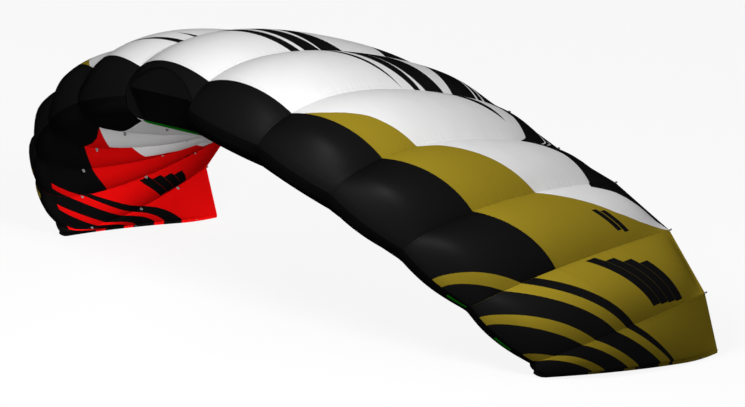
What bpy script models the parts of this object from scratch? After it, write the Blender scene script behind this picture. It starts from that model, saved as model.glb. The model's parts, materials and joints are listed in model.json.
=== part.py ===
"""Small closed-cell foil kite canopy, inflated, standing on its two tips.

Metres. X runs along the span, the nose faces -Y, and +Z is up. The origin is on the
ground, in the middle of the canopy's box.
"""

from dataclasses import dataclass
from math import atan2, cos, pi, radians, sin, sqrt

import bmesh
import bpy
from mathutils import Matrix, Vector

# Plan of the canopy
RIB_SPAN = 2.45  # flat distance between the two tip ribs
RIBS_EACH_SIDE = 6
CELL_TAPER_SHARE = 0.208  # how much narrower the last cell is than the centre one
CENTRE_CHORD = 1.172
TIP_CHORD = 0.730
CHORD_POWER = 2.30
SWEEP = 0.456  # how far back the tip rib's nose lies
SWEEP_POWER = 2.23

# Arch of the canopy
TIP_TURN = radians(63.7)  # how far the span has turned down at the tip rib
TURN_POWER = 0.887
CENTRE_TWIST = radians(6.6)
TIP_TWIST = radians(-5.6)
TWIST_START_SHARE = 0.416
TWIST_END_SHARE = 1.04

# Section of a rib, as shares of its chord
THICKNESS_SHARE = 0.217
CAMBER_SHARE = 0.018
CAMBER_PLACE_SHARE = 0.30

# The black nose band, as shares of the chord
CENTRE_BAND_SHARE = 0.048
BAND_GROWTH_SHARE = 0.336

# Billow of the cloth between two ribs, as shares of the cell's width
NOSE_BILLOW_SHARE = 0.0865
UPPER_BILLOW_SHARE = 0.162
LOWER_BILLOW_SHARE = 0.085
BILLOW_RISE_SHARE = 0.06  # chord share where the billow has grown from the nose
CHIN_BILLOW_SHARE = 0.012  # just under the nose, where the lower skin is tight
CHIN_PLACE_SHARE = 0.02  # chord share where it is tight
BELLY_PLACE_SHARE = 0.35  # chord share where the lower skin has its full billow
BILLOW_FADE_SHARE = 0.45  # chord share where it starts to fade
BILLOW_END_SHARE = 0.98  # chord share where it is gone
UPPER_FADE_POWER = 6  # how late the upper skin's billow fades, which keeps the rear edge scalloped
LOWER_FADE_POWER = 2

# Ears, the triangular tip cells
EAR_WIDTH = 0.209  # at the trailing edge
EAR_LEAN = radians(86.5)
EAR_RAKE = 0.056  # how far its rear corner lies behind the tip rib's
EAR_FRONT_DROP = 0.044  # depth of the ear below the tip rib's nose
EAR_START_SHARE = 0.0005  # chord share where the ear's skins start
EAR_RISE = 0.012  # how far the ends of the tip edge lift off the ground
EAR_FRONT_RISE_END_SHARE = 0.05
EAR_REAR_RISE_START_SHARE = 0.78
EAR_TAPE_END_SHARE = 0.96  # how far down the ear's front the nose tape runs
EAR_BULGE = 0.030  # outward bow of the tip edge in plan

# Cloth and gaps
SKIN = 0.0016
RIB_CLOTH = 0.0010
GAP = 0.0004
NOSE_SEAM = 0.0030  # opening between the two skins at the nose, under its tape
PANEL_GAP = 0.0008  # between the nose band and the upper skin
HEM = 0.0030
HEM_WIDTH = 0.022
HEM_GAP = 0.0006  # between the hem and each skin
RIB_TO_HEM_GAP = 0.0015
TIP_HEM_HEIGHT = 0.010
TAPE = 0.0010
TAPE_WIDTH = 0.012
TAPE_GAP = 0.0005

# Webbing loops
LOOP_LENGTH = 0.016
LOOP_WIDTH = 0.012
LOOP_CLOTH = 0.0016
LOOP_EYE_RADIUS = 0.0028
LOOP_SEAT = 0.004  # how far a sewn loop's root lies inside the hem
LOOP_PLACE_SHARES = (0.13, 0.45, 0.74)
TIP_LOOP_PLACE_SHARES = (0.50, 0.88)

# Cross ports in the ribs
PORT_PLACE_SHARES = (0.17, 0.36, 0.56)
PORT_HEIGHT_SHARE = 0.50  # of the rib's depth there
PORT_ASPECT = 1.5

# Inlet in the centre cell, in the frame of the centre section
LIP_PLACE_SHARE = 0.043  # chord share of the lower lip
LIP_SLACK_SHARE = 0.12  # chord share where the lower skin billows fully behind the taut lip
LIP_TAPE_WIDTH = 0.010
INLET_TOP_SHARE = 0.008  # chord share of the opening's upper edge at the ribs
INLET_ARCH_SHARE = 0.030  # how much further back that edge lies half way across
ARCH_LAP = 0.006  # how far the arch panel laps behind the nose panel
ARCH_CLOTH = 0.0010
MESH = 0.0008
MESH_TOP = 0.028  # height of the mesh's straight top edge above the chord line
MESH_SETBACK = 0.016  # how far behind the nose it stands
MESH_LIP_GAP = 0.0022  # between the mesh and the inside of the lower skin
FLAP = 0.0010
FLAP_SETBACK = 0.0050  # behind the mesh
FLAP_SIDE_GAP = 0.012
FLAP_END_GAP = 0.004
FLAP_ROLL_RADIUS = 0.0020  # the rolled seam that the flap swings on
FLAP_ROLL_SIDES = 12

# Deflation zip on the centre cell's lower skin
ZIP_START_SHARE = 0.70
ZIP_END_SHARE = 0.84
ZIP_WIDTH = 0.024
ZIP_TAPE = 0.0012
TEETH_WIDTH = 0.006
TEETH_HEIGHT = 0.0012  # above the tape
TEETH_END = 0.004  # tape left free at each end of the teeth
SLIDER_LENGTH = 0.012
SLIDER_WIDTH = 0.010
SLIDER_HEIGHT = 0.0024
SLIDER_GAP = 0.0004
SLIDER_END = 0.003  # from the teeth's end to the slider at rest
PULL_LENGTH = 0.022
PULL_WIDTH = 0.006
PULL_THICKNESS = 0.0012
UNION_LAP = 0.0004  # how deep two solids that become one reach into each other

# Fineness of the meshes, in steps
SPAN_STEPS = 6
HEM_SPAN_STEPS = 2
NOSE_STEPS = 4
UPPER_STEPS = 8
LOWER_STEPS = 9
EAR_STEPS = 12
EAR_SPAN_STEPS = 5
EAR_STEP_POWER = 1.6
NOSE_STEP_POWER = 2.0
LOWER_STEP_POWER = 2.0
LOOP_ARC_STEPS = 4
EYE_STEPS = 8
PORT_STEPS = 12

BLACK = (0.008, 0.008, 0.008)
WHITE = (0.80, 0.80, 0.80)
GOLD = (0.24, 0.17, 0.02)
RED = (0.60, 0.01, 0.01)
GREEN = (0.01, 0.16, 0.01)
GREY = (0.25, 0.25, 0.26)

THICKNESS_BOW = 5.0  # of the section's thickness formula
TINY_SHARE = 1e-9
STEP_SHARE = 0.01  # chord share over which a slope is measured


@dataclass(frozen=True)
class Rib:
    """One rib's place: its nose, the directions of its chord and its depth."""

    share: float
    nose: Vector
    along: Vector
    up: Vector
    chord: float

    def place(self, x, height):
        """Point at chord share x, height above the chord line, in shares of the chord."""
        return self.nose + self.along * (x * self.chord) + self.up * (height * self.chord)

    def skin(self, x, side):
        """Point of the upper (side 1) or lower (side -1) skin at chord share x."""
        return self.place(x, camber(x) + side * half_depth(x))

    def normal(self, x, side):
        """Outward normal of that skin, in the rib's plane."""
        slope = side * camber_slope(x) + depth_slope(x)
        return (self.up * side - self.along * slope).normalized()

    def face(self):
        """Direction square to the rib, towards +X."""
        return self.along.cross(self.up)

    def nose_share(self, height):
        """Chord share where the half depth near the nose is this length."""
        return (height / (THICKNESS_BOW * THICKNESS_SHARE * 0.2969 * self.chord)) ** 2

    def seam_share(self):
        """Chord share where the skins start behind the nose."""
        return self.nose_share(NOSE_SEAM / 2)

    def tail_share(self):
        """Chord share where the skins close on the hem."""
        return 1 - edge_half() / (-depth_slope(1.0) * self.chord)

    def hem_share(self):
        """Chord share where the hem starts, between the skins."""
        return 1 - HEM_WIDTH / self.chord

    def end_share(self):
        """Chord share where the rib itself ends, in front of the hem."""
        return self.hem_share() - RIB_TO_HEM_GAP / self.chord


@dataclass(frozen=True)
class Ear:
    """One tip cell: its rib, the ends of its straight edge, and its hand, 1 for the right."""

    rib: Rib
    front: Vector
    rear: Vector
    hand: int

    def edge(self, t):
        """Point of the tip edge's lower side, t along it from the nose."""
        start, end = EAR_FRONT_RISE_END_SHARE, EAR_REAR_RISE_START_SHARE
        lift = max(start - t, 0.0) / start
        tail = max(t - end, 0.0) / (1 - end)
        point = self.front.lerp(self.rear, t)
        bow = EAR_BULGE * 4 * t * (1 - t)
        return Vector((self.hand * (point.x + bow), point.y, EAR_RISE * (lift * lift + tail * tail)))

    def hem_top(self, t):
        """Point just above the tip hem."""
        return self.edge(t) + Vector((0.0, 0.0, TIP_HEM_HEIGHT + GAP))

    def middle(self, x, v, clear=0.0):
        """Point half way between the ear's skins, and the share of its width from the rib."""
        a, b = self.rib.place(x, camber(x)), self.hem_top(x)
        start = clear / abs((b - a).dot(self.rib.face()))
        w = start + (1 - start) * v
        return a.lerp(b, w), w

    def outward(self, w):
        """Direction from the ear's middle to its outer skin."""
        return self.rib.up.lerp(Vector((self.hand, 0.0, 0.0)), w).normalized()

    def half(self, x, w):
        """Half the ear's depth: the rib's own at the rib, and the hem's at the edge."""
        thin = edge_half()
        return thin + (half_depth(x) * self.rib.chord - thin) * sqrt(max(1 - w * w, 0.0))

    def skin(self, x, v, side, clear=0.0):
        """Point of the ear's outer (side 1) or inner (side -1) skin."""
        point, w = self.middle(x, v, clear)
        return point + self.outward(v) * side * self.half(x, w)

    def room(self, x, side):
        """Distance from the rib's middle that leaves the cloth's inner face its gap."""
        step = STEP_SHARE * (1 - x)
        edge = self.skin(x, 0.0, side)
        away = self.skin(x, 1 / EAR_SPAN_STEPS, side) - edge
        outward = (self.skin(x + step, 0.0, side) - edge).cross(away).normalized()
        if outward.dot(self.rib.up) * side < 0:
            outward = -outward
        reach = max(outward.dot(self.rib.face()) * self.hand, 0.0)
        return RIB_CLOTH / 2 + GAP + SKIN * reach

    def shares(self):
        """Chord shares of the ear's mesh, from the nose to the tail."""
        start, end = EAR_START_SHARE, self.rib.tail_share()
        return [start + (end - start) * (k / EAR_STEPS) ** EAR_STEP_POWER for k in range(EAR_STEPS + 1)]


def edge_half():
    """Half the canopy's thickness where two skins close on a hem."""
    return SKIN + HEM / 2 + HEM_GAP


def half_depth(x):
    """Half the section's depth at chord share x, in shares of the chord."""
    bow = 0.2969 * sqrt(max(x, 0.0)) - 0.1260 * x - 0.3516 * x**2 + 0.2843 * x**3 - 0.1036 * x**4
    return THICKNESS_BOW * THICKNESS_SHARE * bow


def depth_slope(x):
    """Slope of half_depth."""
    root = sqrt(max(x, TINY_SHARE))
    bow = 0.2969 / 2 / root - 0.1260 - 0.7032 * x + 0.8529 * x**2 - 0.4144 * x**3
    return THICKNESS_BOW * THICKNESS_SHARE * bow


def camber(x):
    """Height of the section's middle line at chord share x."""
    place = CAMBER_PLACE_SHARE
    if x < place:
        return CAMBER_SHARE / place**2 * (2 * place * x - x**2)
    return CAMBER_SHARE / (1 - place) ** 2 * ((1 - 2 * place) + 2 * place * x - x**2)


def camber_slope(x):
    """Slope of the middle line."""
    place = CAMBER_PLACE_SHARE
    if x < place:
        return CAMBER_SHARE / place**2 * 2 * (place - x)
    return CAMBER_SHARE / (1 - place) ** 2 * 2 * (place - x)


def smooth(a, b, x):
    """0 below a, 1 above b, and smooth between them."""
    t = min(max((x - a) / (b - a), 0.0), 1.0)
    return t * t * (3 - 2 * t)


def band_share(t):
    """Chord share where the nose band ends, at span share t."""
    return CENTRE_BAND_SHARE + BAND_GROWTH_SHARE * t * t


def make_ribs():
    """The twelve ribs from the left tip to the right, in the attitude of flight."""
    widths = [1 - CELL_TAPER_SHARE * k / (RIBS_EACH_SIDE - 1) for k in range(RIBS_EACH_SIDE)]
    total = widths[0] / 2 + sum(widths[1:])
    widths = [w * RIB_SPAN / 2 / total for w in widths]
    half = RIB_SPAN / 2
    x, z, run = widths[0] / 2, 0.0, widths[0] / 2
    right = []
    for k in range(RIBS_EACH_SIDE):
        if k:
            turn = TIP_TURN * ((run + widths[k] / 2) / half) ** TURN_POWER
            x += widths[k] * cos(turn)
            z -= widths[k] * sin(turn)
            run += widths[k]
        t = run / half
        lean = TIP_TURN * t**TURN_POWER
        twist = CENTRE_TWIST + (TIP_TWIST - CENTRE_TWIST) * smooth(TWIST_START_SHARE, TWIST_END_SHARE, t)
        chord = CENTRE_CHORD - (CENTRE_CHORD - TIP_CHORD) * t**CHORD_POWER
        right.append((t, x, SWEEP * t**SWEEP_POWER, z, lean, twist, chord))
    ribs = []
    for side in (-1, 1):
        for t, x, y, z, lean, twist, chord in (reversed(right) if side < 0 else right):
            normal = Vector((side * sin(lean), 0.0, cos(lean)))
            back = Vector((0.0, 1.0, 0.0))
            along = back * cos(twist) - normal * sin(twist)
            up = normal * cos(twist) + back * sin(twist)
            ribs.append(Rib(t, Vector((side * x, y, z)), along, up, chord))
    return ribs


def stand(ribs):
    """Turns the ribs so that both tip edges lie on the ground, and returns them with the ear's corners."""
    tip = ribs[-1]
    front = tip.nose - Vector((0.0, 0.0, EAR_FRONT_DROP))
    rear = tip.place(1.0, 0.0) + Vector((EAR_WIDTH * cos(EAR_LEAN), EAR_RAKE, -EAR_WIDTH * sin(EAR_LEAN)))
    pitch = Matrix.Rotation(-atan2(rear.z - front.z, rear.y - front.y), 3, "X")
    front, rear = pitch @ front, pitch @ rear
    shift = Vector((0.0, 0.0, -front.z))
    standing = [Rib(r.share, pitch @ r.nose + shift, pitch @ r.along, pitch @ r.up, r.chord) for r in ribs]
    return standing, front + shift, rear + shift


def billow(x, side):
    """Share of the cell's width by which the cloth stands out at chord share x."""
    if side > 0:
        grown = NOSE_BILLOW_SHARE + (UPPER_BILLOW_SHARE - NOSE_BILLOW_SHARE) * smooth(0.0, BILLOW_RISE_SHARE, x)
    else:
        chin = CHIN_BILLOW_SHARE - NOSE_BILLOW_SHARE
        belly = LOWER_BILLOW_SHARE - CHIN_BILLOW_SHARE
        grown = NOSE_BILLOW_SHARE + chin * smooth(0.0, CHIN_PLACE_SHARE, x)
        grown += belly * smooth(CHIN_PLACE_SHARE, BELLY_PLACE_SHARE, x)
    run = min(max((x - BILLOW_FADE_SHARE) / (BILLOW_END_SHARE - BILLOW_FADE_SHARE), 0.0), 1.0)
    return grown * (1 - run ** (UPPER_FADE_POWER if side > 0 else LOWER_FADE_POWER))


def cell_point(left, right, x_left, x_right, v, side, swell=1.0, clear=(0.0, 0.0), lift=0.0):
    """Point of a cell's skin, v across it, at each rib's own chord share.

    clear holds the distances that it keeps from the middles of its two ribs.
    """
    a, b = left.skin(x_left, side), right.skin(x_right, side)
    across = b - a
    start = clear[0] / abs(across.dot(left.face()))
    end = clear[1] / abs(across.dot(right.face()))
    w = start + (1 - start - end) * v
    x = x_left + (x_right - x_left) * w
    normal = left.normal(x_left, side).lerp(right.normal(x_right, side), w).normalized()
    rise = billow(x, side) * swell * across.length * 4 * v * (1 - v)
    return a.lerp(b, w) + normal * (rise + lift)


def room(left, right, x_left, x_right, side, swell):
    """Distances from the middles of both ribs that leave the cloth's inner face its gap.

    Where the nose is swept or the ribs lean, the inner face reaches past the outer one.
    """
    step = STEP_SHARE * (1 - max(x_left, x_right))
    rooms = []
    for v, rib, towards in ((0.0, left, -1), (1.0, right, 1)):
        edge = cell_point(left, right, x_left, x_right, v, side, swell)
        inside = cell_point(left, right, x_left, x_right, abs(v - 1 / SPAN_STEPS), side, swell)
        behind = cell_point(left, right, x_left + step, x_right + step, v, side, swell)
        outward = (behind - edge).cross(inside - edge).normalized()
        if outward.dot(rib.normal(x_left, side)) < 0:
            outward = -outward
        reach = max(-outward.dot(rib.face()) * towards, 0.0)
        rooms.append(RIB_CLOTH / 2 + GAP + SKIN * reach)
    return tuple(rooms)


def collection(name):
    """A collection of this name in the scene."""
    made = bpy.data.collections.new(name)
    bpy.context.scene.collection.children.link(made)
    return made


def material(name, colour, roughness, metallic=0.0):
    """A plain material with the piece's colour."""
    made = bpy.data.materials.new(name)
    made.use_nodes = True
    shader = made.node_tree.nodes["Principled BSDF"]
    shader.inputs["Base Color"].default_value = (*colour, 1.0)
    shader.inputs["Roughness"].default_value = roughness
    shader.inputs["Metallic"].default_value = metallic
    return made


def add_object(name, data, home, finish):
    """Links a named object with its own material to the canopy's collection."""
    made = bpy.data.objects.new(name, data)
    home.objects.link(made)
    if finish:
        own = finish.copy()
        own.name = name + "_finish"
        data.materials.append(own)
    return made


def sheet(name, home, finish, rows, columns, point, thickness, facing=None, offset=-1.0):
    """A sheet of cloth: a grid that point(u, v) shapes, thickened away from where it faces."""
    mesh = bmesh.new()
    bmesh.ops.create_grid(mesh, x_segments=rows, y_segments=columns, size=0.5)
    for corner in mesh.verts:
        corner.co = point(corner.co.x + 0.5, corner.co.y + 0.5)
    mesh.normal_update()
    if facing and sum(patch.normal.dot(facing) for patch in mesh.faces) < 0:
        bmesh.ops.reverse_faces(mesh, faces=mesh.faces[:])
    data = bpy.data.meshes.new(name)
    mesh.to_mesh(data)
    mesh.free()
    data.shade_smooth()
    made = add_object(name, data, home, finish)
    wall = made.modifiers.new("thickness", "SOLIDIFY")
    wall.thickness = thickness
    wall.offset = offset
    return made


def box(name, home, finish, length, width, height, frame):
    """A box centred on its frame."""
    mesh = bmesh.new()
    bmesh.ops.create_cube(mesh, size=1.0)
    bmesh.ops.scale(mesh, vec=(length, width, height), verts=mesh.verts)
    data = bpy.data.meshes.new(name)
    mesh.to_mesh(data)
    mesh.free()
    made = add_object(name, data, home, finish)
    made.matrix_world = frame
    return made


def frame_of(origin, x_axis, y_axis):
    """A placing matrix whose X and Y run along the two directions."""
    x_axis = x_axis.normalized()
    z_axis = x_axis.cross(y_axis).normalized()
    turned = Matrix((x_axis, z_axis.cross(x_axis), z_axis)).transposed()
    return Matrix.Translation(origin) @ turned.to_4x4()


def join(target, tool):
    """Makes the tool one body with the target."""
    tool.hide_render = True
    tool.display_type = "WIRE"
    union = target.modifiers.new("joined", "BOOLEAN")
    union.operation = "UNION"
    union.object = tool


def outline(name, loops, thickness):
    """A flat outline with holes, as a filled curve of this thickness."""
    curve = bpy.data.curves.new(name, "CURVE")
    curve.dimensions = "2D"
    curve.fill_mode = "BOTH"
    curve.extrude = thickness / 2
    for points in loops:
        spline = curve.splines.new("POLY")
        spline.points.add(len(points) - 1)
        for knot, (x, y) in zip(spline.points, points):
            knot.co = (x, y, 0.0, 1.0)
        spline.use_cyclic_u = True
    return curve


def circle(centre_x, centre_y, radius_x, radius_y, steps):
    """Points of an ellipse."""
    turns = [2 * pi * k / steps for k in range(steps)]
    return [(centre_x + radius_x * cos(turn), centre_y + radius_y * sin(turn)) for turn in turns]


def loop_outline(root_x, root_y, run, out, root):
    """A webbing loop's outline, from its root on a seam outwards, and its eye.

    run is the direction along the seam, out the direction away from it, and root how far
    the outline starts inside the seam.
    """
    half = LOOP_WIDTH / 2
    reach = LOOP_LENGTH - half

    def at(along, away):
        return root_x + run[0] * along + out[0] * away, root_y + run[1] * along + out[1] * away

    points = [at(-half, -root)]
    for k in range(LOOP_ARC_STEPS + 1):
        turn = pi * k / LOOP_ARC_STEPS
        points.append(at(-half * cos(turn), reach + half * sin(turn)))
    points.append(at(half, -root))
    eye_x, eye_y = at(0.0, reach)
    return points, circle(eye_x, eye_y, LOOP_EYE_RADIUS, LOOP_EYE_RADIUS, EYE_STEPS)


def upper_shares(rib):
    """Chord shares of the upper skin's mesh lines, from the nose to the rib's end."""
    start, band, tail = rib.seam_share(), band_share(rib.share), rib.tail_share()
    nose = [start + (band - start) * (k / NOSE_STEPS) ** NOSE_STEP_POWER for k in range(NOSE_STEPS + 1)]
    rest = [band + (tail - band) * k / UPPER_STEPS for k in range(1, UPPER_STEPS)]
    return [x for x in nose + rest if x < rib.end_share()] + [rib.end_share()]


def lower_shares(rib):
    """Chord shares of the lower skin's mesh lines, from the nose to the rib's end."""
    start, tail = rib.seam_share(), rib.tail_share()
    run = [start + (tail - start) * (k / LOWER_STEPS) ** LOWER_STEP_POWER for k in range(LOWER_STEPS)]
    return [x for x in run if x < rib.end_share()] + [rib.end_share()]


def rib_loops(rib):
    """The rib's outline with its bridle loops, and its holes, in metres in its own plane."""
    def at(x, side):
        return x * rib.chord, (camber(x) + side * half_depth(x)) * rib.chord

    points = [at(x, 1) for x in reversed(upper_shares(rib))] + [(0.0, 0.0)]
    holes = []
    half = LOOP_WIDTH / 2 / rib.chord
    run = [(x, None) for x in lower_shares(rib) if min(abs(x - p) for p in LOOP_PLACE_SHARES) > half]
    run += [(p, "loop") for p in LOOP_PLACE_SHARES]
    for x, kind in sorted(run, key=lambda item: item[0]):
        if not kind:
            points.append(at(x, -1))
            continue
        slope = camber_slope(x) - depth_slope(x)
        size = sqrt(1 + slope * slope)
        loop, eye = loop_outline(*at(x, -1), (1 / size, slope / size), (slope / size, -1 / size), 0.0)
        points += loop
        holes.append(eye)
    for x in PORT_PLACE_SHARES:
        tall = half_depth(x) * rib.chord * PORT_HEIGHT_SHARE
        holes.append(circle(x * rib.chord, camber(x) * rib.chord, tall * PORT_ASPECT, tall, PORT_STEPS))
    return [points] + holes


def sewn_loops(name, home, frames):
    """Webbing loops on these frames, as one mesh of closed tabs: X points away from the hem."""
    tab, eye = loop_outline(0.0, 0.0, (0.0, 1.0), (1.0, 0.0), LOOP_SEAT)
    pattern = bpy.data.objects.new(name, outline(name, [tab, eye], LOOP_CLOTH))
    home.objects.link(pattern)
    bpy.context.view_layer.update()
    graph = bpy.context.evaluated_depsgraph_get()
    flat = bpy.data.meshes.new_from_object(pattern.evaluated_get(graph))
    mesh = bmesh.new()
    for frame in frames:
        copy = flat.copy()
        copy.transform(frame)
        mesh.from_mesh(copy)
        bpy.data.meshes.remove(copy)
    bmesh.ops.remove_doubles(mesh, verts=mesh.verts, dist=GAP / 100)
    data = bpy.data.meshes.new(name)
    mesh.to_mesh(data)
    mesh.free()
    bpy.data.objects.remove(pattern)
    bpy.data.meshes.remove(flat)
    made = bpy.data.objects.new(name, data)
    home.objects.link(made)
    return made


def cell_skin(name, home, finish, left, right, side, start, end, steps, power, swell=None):
    """A cell's panel between two ribs, from the chord share start(rib, v) to end(rib)."""
    def point(u, v):
        x_left = start(left, v) + (end(left) - start(left, v)) * u**power
        x_right = start(right, v) + (end(right) - start(right, v)) * u**power
        held = swell(x_left) if swell else 1.0
        clear = room(left, right, x_left, x_right, side, held)
        return cell_point(left, right, x_left, x_right, v, side, held, clear)

    facing = (left.up + right.up) * side - left.along * (steps == NOSE_STEPS)
    return sheet(name, home, finish, steps, SPAN_STEPS, point, SKIN, facing)


def make_skins(ribs, home, looks):
    """The upper skins, nose panels and lower skins of the eleven full cells."""
    for number, (left, right) in enumerate(zip(ribs, ribs[1:]), start=2):
        from_centre = abs(number - 7)
        centre = not from_centre
        bright = looks["white"] if from_centre < 4 else looks["gold"]
        under = looks["white"] if from_centre < 4 else looks["red"]

        def nose_start(rib, v, centre=centre):
            return INLET_TOP_SHARE + INLET_ARCH_SHARE * 4 * v * (1 - v) if centre else rib.seam_share()

        def lip_start(rib, v, centre=centre):
            return LIP_PLACE_SHARE if centre else rib.seam_share()

        def taut(x):
            return smooth(LIP_PLACE_SHARE, LIP_SLACK_SHARE, x)

        cell_skin(f"nose_panel_{number:02d}", home, looks["black"], left, right, 1, nose_start,
                  lambda rib: band_share(rib.share), NOSE_STEPS, 1.0 if centre else NOSE_STEP_POWER)
        cell_skin(f"upper_skin_{number:02d}", home, bright, left, right, 1,
                  lambda rib, v: band_share(rib.share) + PANEL_GAP / rib.chord,
                  Rib.tail_share, UPPER_STEPS, 1.0)
        cell_skin(f"lower_skin_{number:02d}", home, under, left, right, -1, lip_start,
                  Rib.tail_share, LOWER_STEPS, LOWER_STEP_POWER, taut if centre else None)


def make_ear(ear, number, home, cutters, looks):
    """One tip cell: its two skins, and the hem that it stands on, with its loops."""
    shares = ear.shares()
    word = "right" if ear.hand > 0 else "left"
    for side, part in ((1, "upper"), (-1, "lower")):
        def point(u, v, side=side):
            x = shares[round(u * EAR_STEPS)]
            return ear.skin(x, v, side, ear.room(x, side))

        sheet(f"{part}_skin_{number:02d}", home, looks["black"], EAR_STEPS, EAR_SPAN_STEPS, point,
              SKIN, Vector((ear.hand * side, 0.0, 0.0)))
    stops = [0.0] + sorted(shares[1:] + [ear.rib.hem_share()]) + [1.0]
    steps = len(stops) - 1

    def hem_point(u, v):
        return ear.edge(stops[round(u * steps)]) + Vector((0.0, 0.0, TIP_HEM_HEIGHT * v))

    hem = sheet(f"tip_hem_{word}", home, looks["black"], steps, 1, hem_point, 2 * edge_half(), offset=0.0)
    outward = Vector((ear.hand, 0.0, 0.0))
    middle = Vector((0.0, 0.0, TIP_HEM_HEIGHT / 2)) + outward * edge_half()
    frames = [frame_of(ear.edge(t) + middle, outward, Vector((0.0, 1.0, 0.0))) for t in TIP_LOOP_PLACE_SHARES]
    join(hem, sewn_loops(f"tip_loops_{word}", cutters, frames))


def make_ribs_solid(ribs, home, looks):
    """The rib plates with their cross ports and bridle loops."""
    for number, rib in enumerate(ribs, start=1):
        name = f"rib_{number:02d}"
        plate = add_object(name, outline(name, rib_loops(rib), RIB_CLOTH), home, looks["rib"])
        plate.matrix_world = frame_of(rib.nose, rib.along, rib.up)


def make_nose_tape(chain, ear, home, looks):
    """The tape over the nose seam from the inlet to one tip, and down the ear's front."""
    cells = list(zip(chain, chain[1:]))
    steps = len(cells) * SPAN_STEPS + 2

    def point(u, v):
        width = 2 * v - 1
        side = -1 if width < 0 else 1
        place = round(u * steps)
        cell = min(place // SPAN_STEPS, len(cells))
        if cell < len(cells):
            inner, outer = cells[cell]
            inner_x, outer_x = (r.nose_share(abs(width) * TAPE_WIDTH / 2) for r in (inner, outer))
            return cell_point(inner, outer, inner_x, outer_x, place / SPAN_STEPS - cell, side, lift=TAPE_GAP)
        share = ear.rib.nose_share(TAPE_WIDTH / 2)
        down = (place - cell * SPAN_STEPS) / 2 * EAR_TAPE_END_SHARE
        middle, w = ear.middle(share * width * width, down)
        spread = ear.outward(w) * width * (ear.half(share, w) + TAPE_GAP)
        return middle + spread - ear.rib.along * TAPE_GAP

    word = "right" if ear.hand > 0 else "left"
    facing = -(chain[0].along + chain[-1].along)
    sheet(f"leading_edge_tape_{word}", home, looks["black"], steps, 2, point, TAPE, facing, offset=1.0)


def make_tail_hem(ribs, ears, home, cutters, looks):
    """The hem along the trailing edge, from one tip to the other, with its brake loops."""
    left_ear, right_ear = ears
    inner = (len(ribs) - 1) * HEM_SPAN_STEPS
    count = inner + 2 * EAR_SPAN_STEPS

    def rib_point(rib, u):
        x = rib.hem_share() + (1 - rib.hem_share()) * u
        return rib.place(x, camber(x))

    def point(u, v):
        number = round(v * count) - EAR_SPAN_STEPS
        if 0 <= number <= inner:
            cell = min(number // HEM_SPAN_STEPS, len(ribs) - 2)
            share = number / HEM_SPAN_STEPS - cell
            return rib_point(ribs[cell], u).lerp(rib_point(ribs[cell + 1], u), share)
        ear = left_ear if number < 0 else right_ear
        down = (-number if number < 0 else number - inner) / EAR_SPAN_STEPS
        behind = ear.rib.tail_share() + PANEL_GAP / ear.rib.chord
        start = ear.rib.hem_share() + (behind - ear.rib.hem_share()) * down
        return ear.middle(start + (1 - start) * u, down)[0]

    hem = sheet("trailing_edge_hem", home, looks["black"], 1, count, point, HEM, offset=0.0)
    frames = [frame_of(rib.place(1.0, 0.0), rib.along, rib.face()) for rib in ribs]
    join(hem, sewn_loops("brake_loops", cutters, frames))


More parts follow.
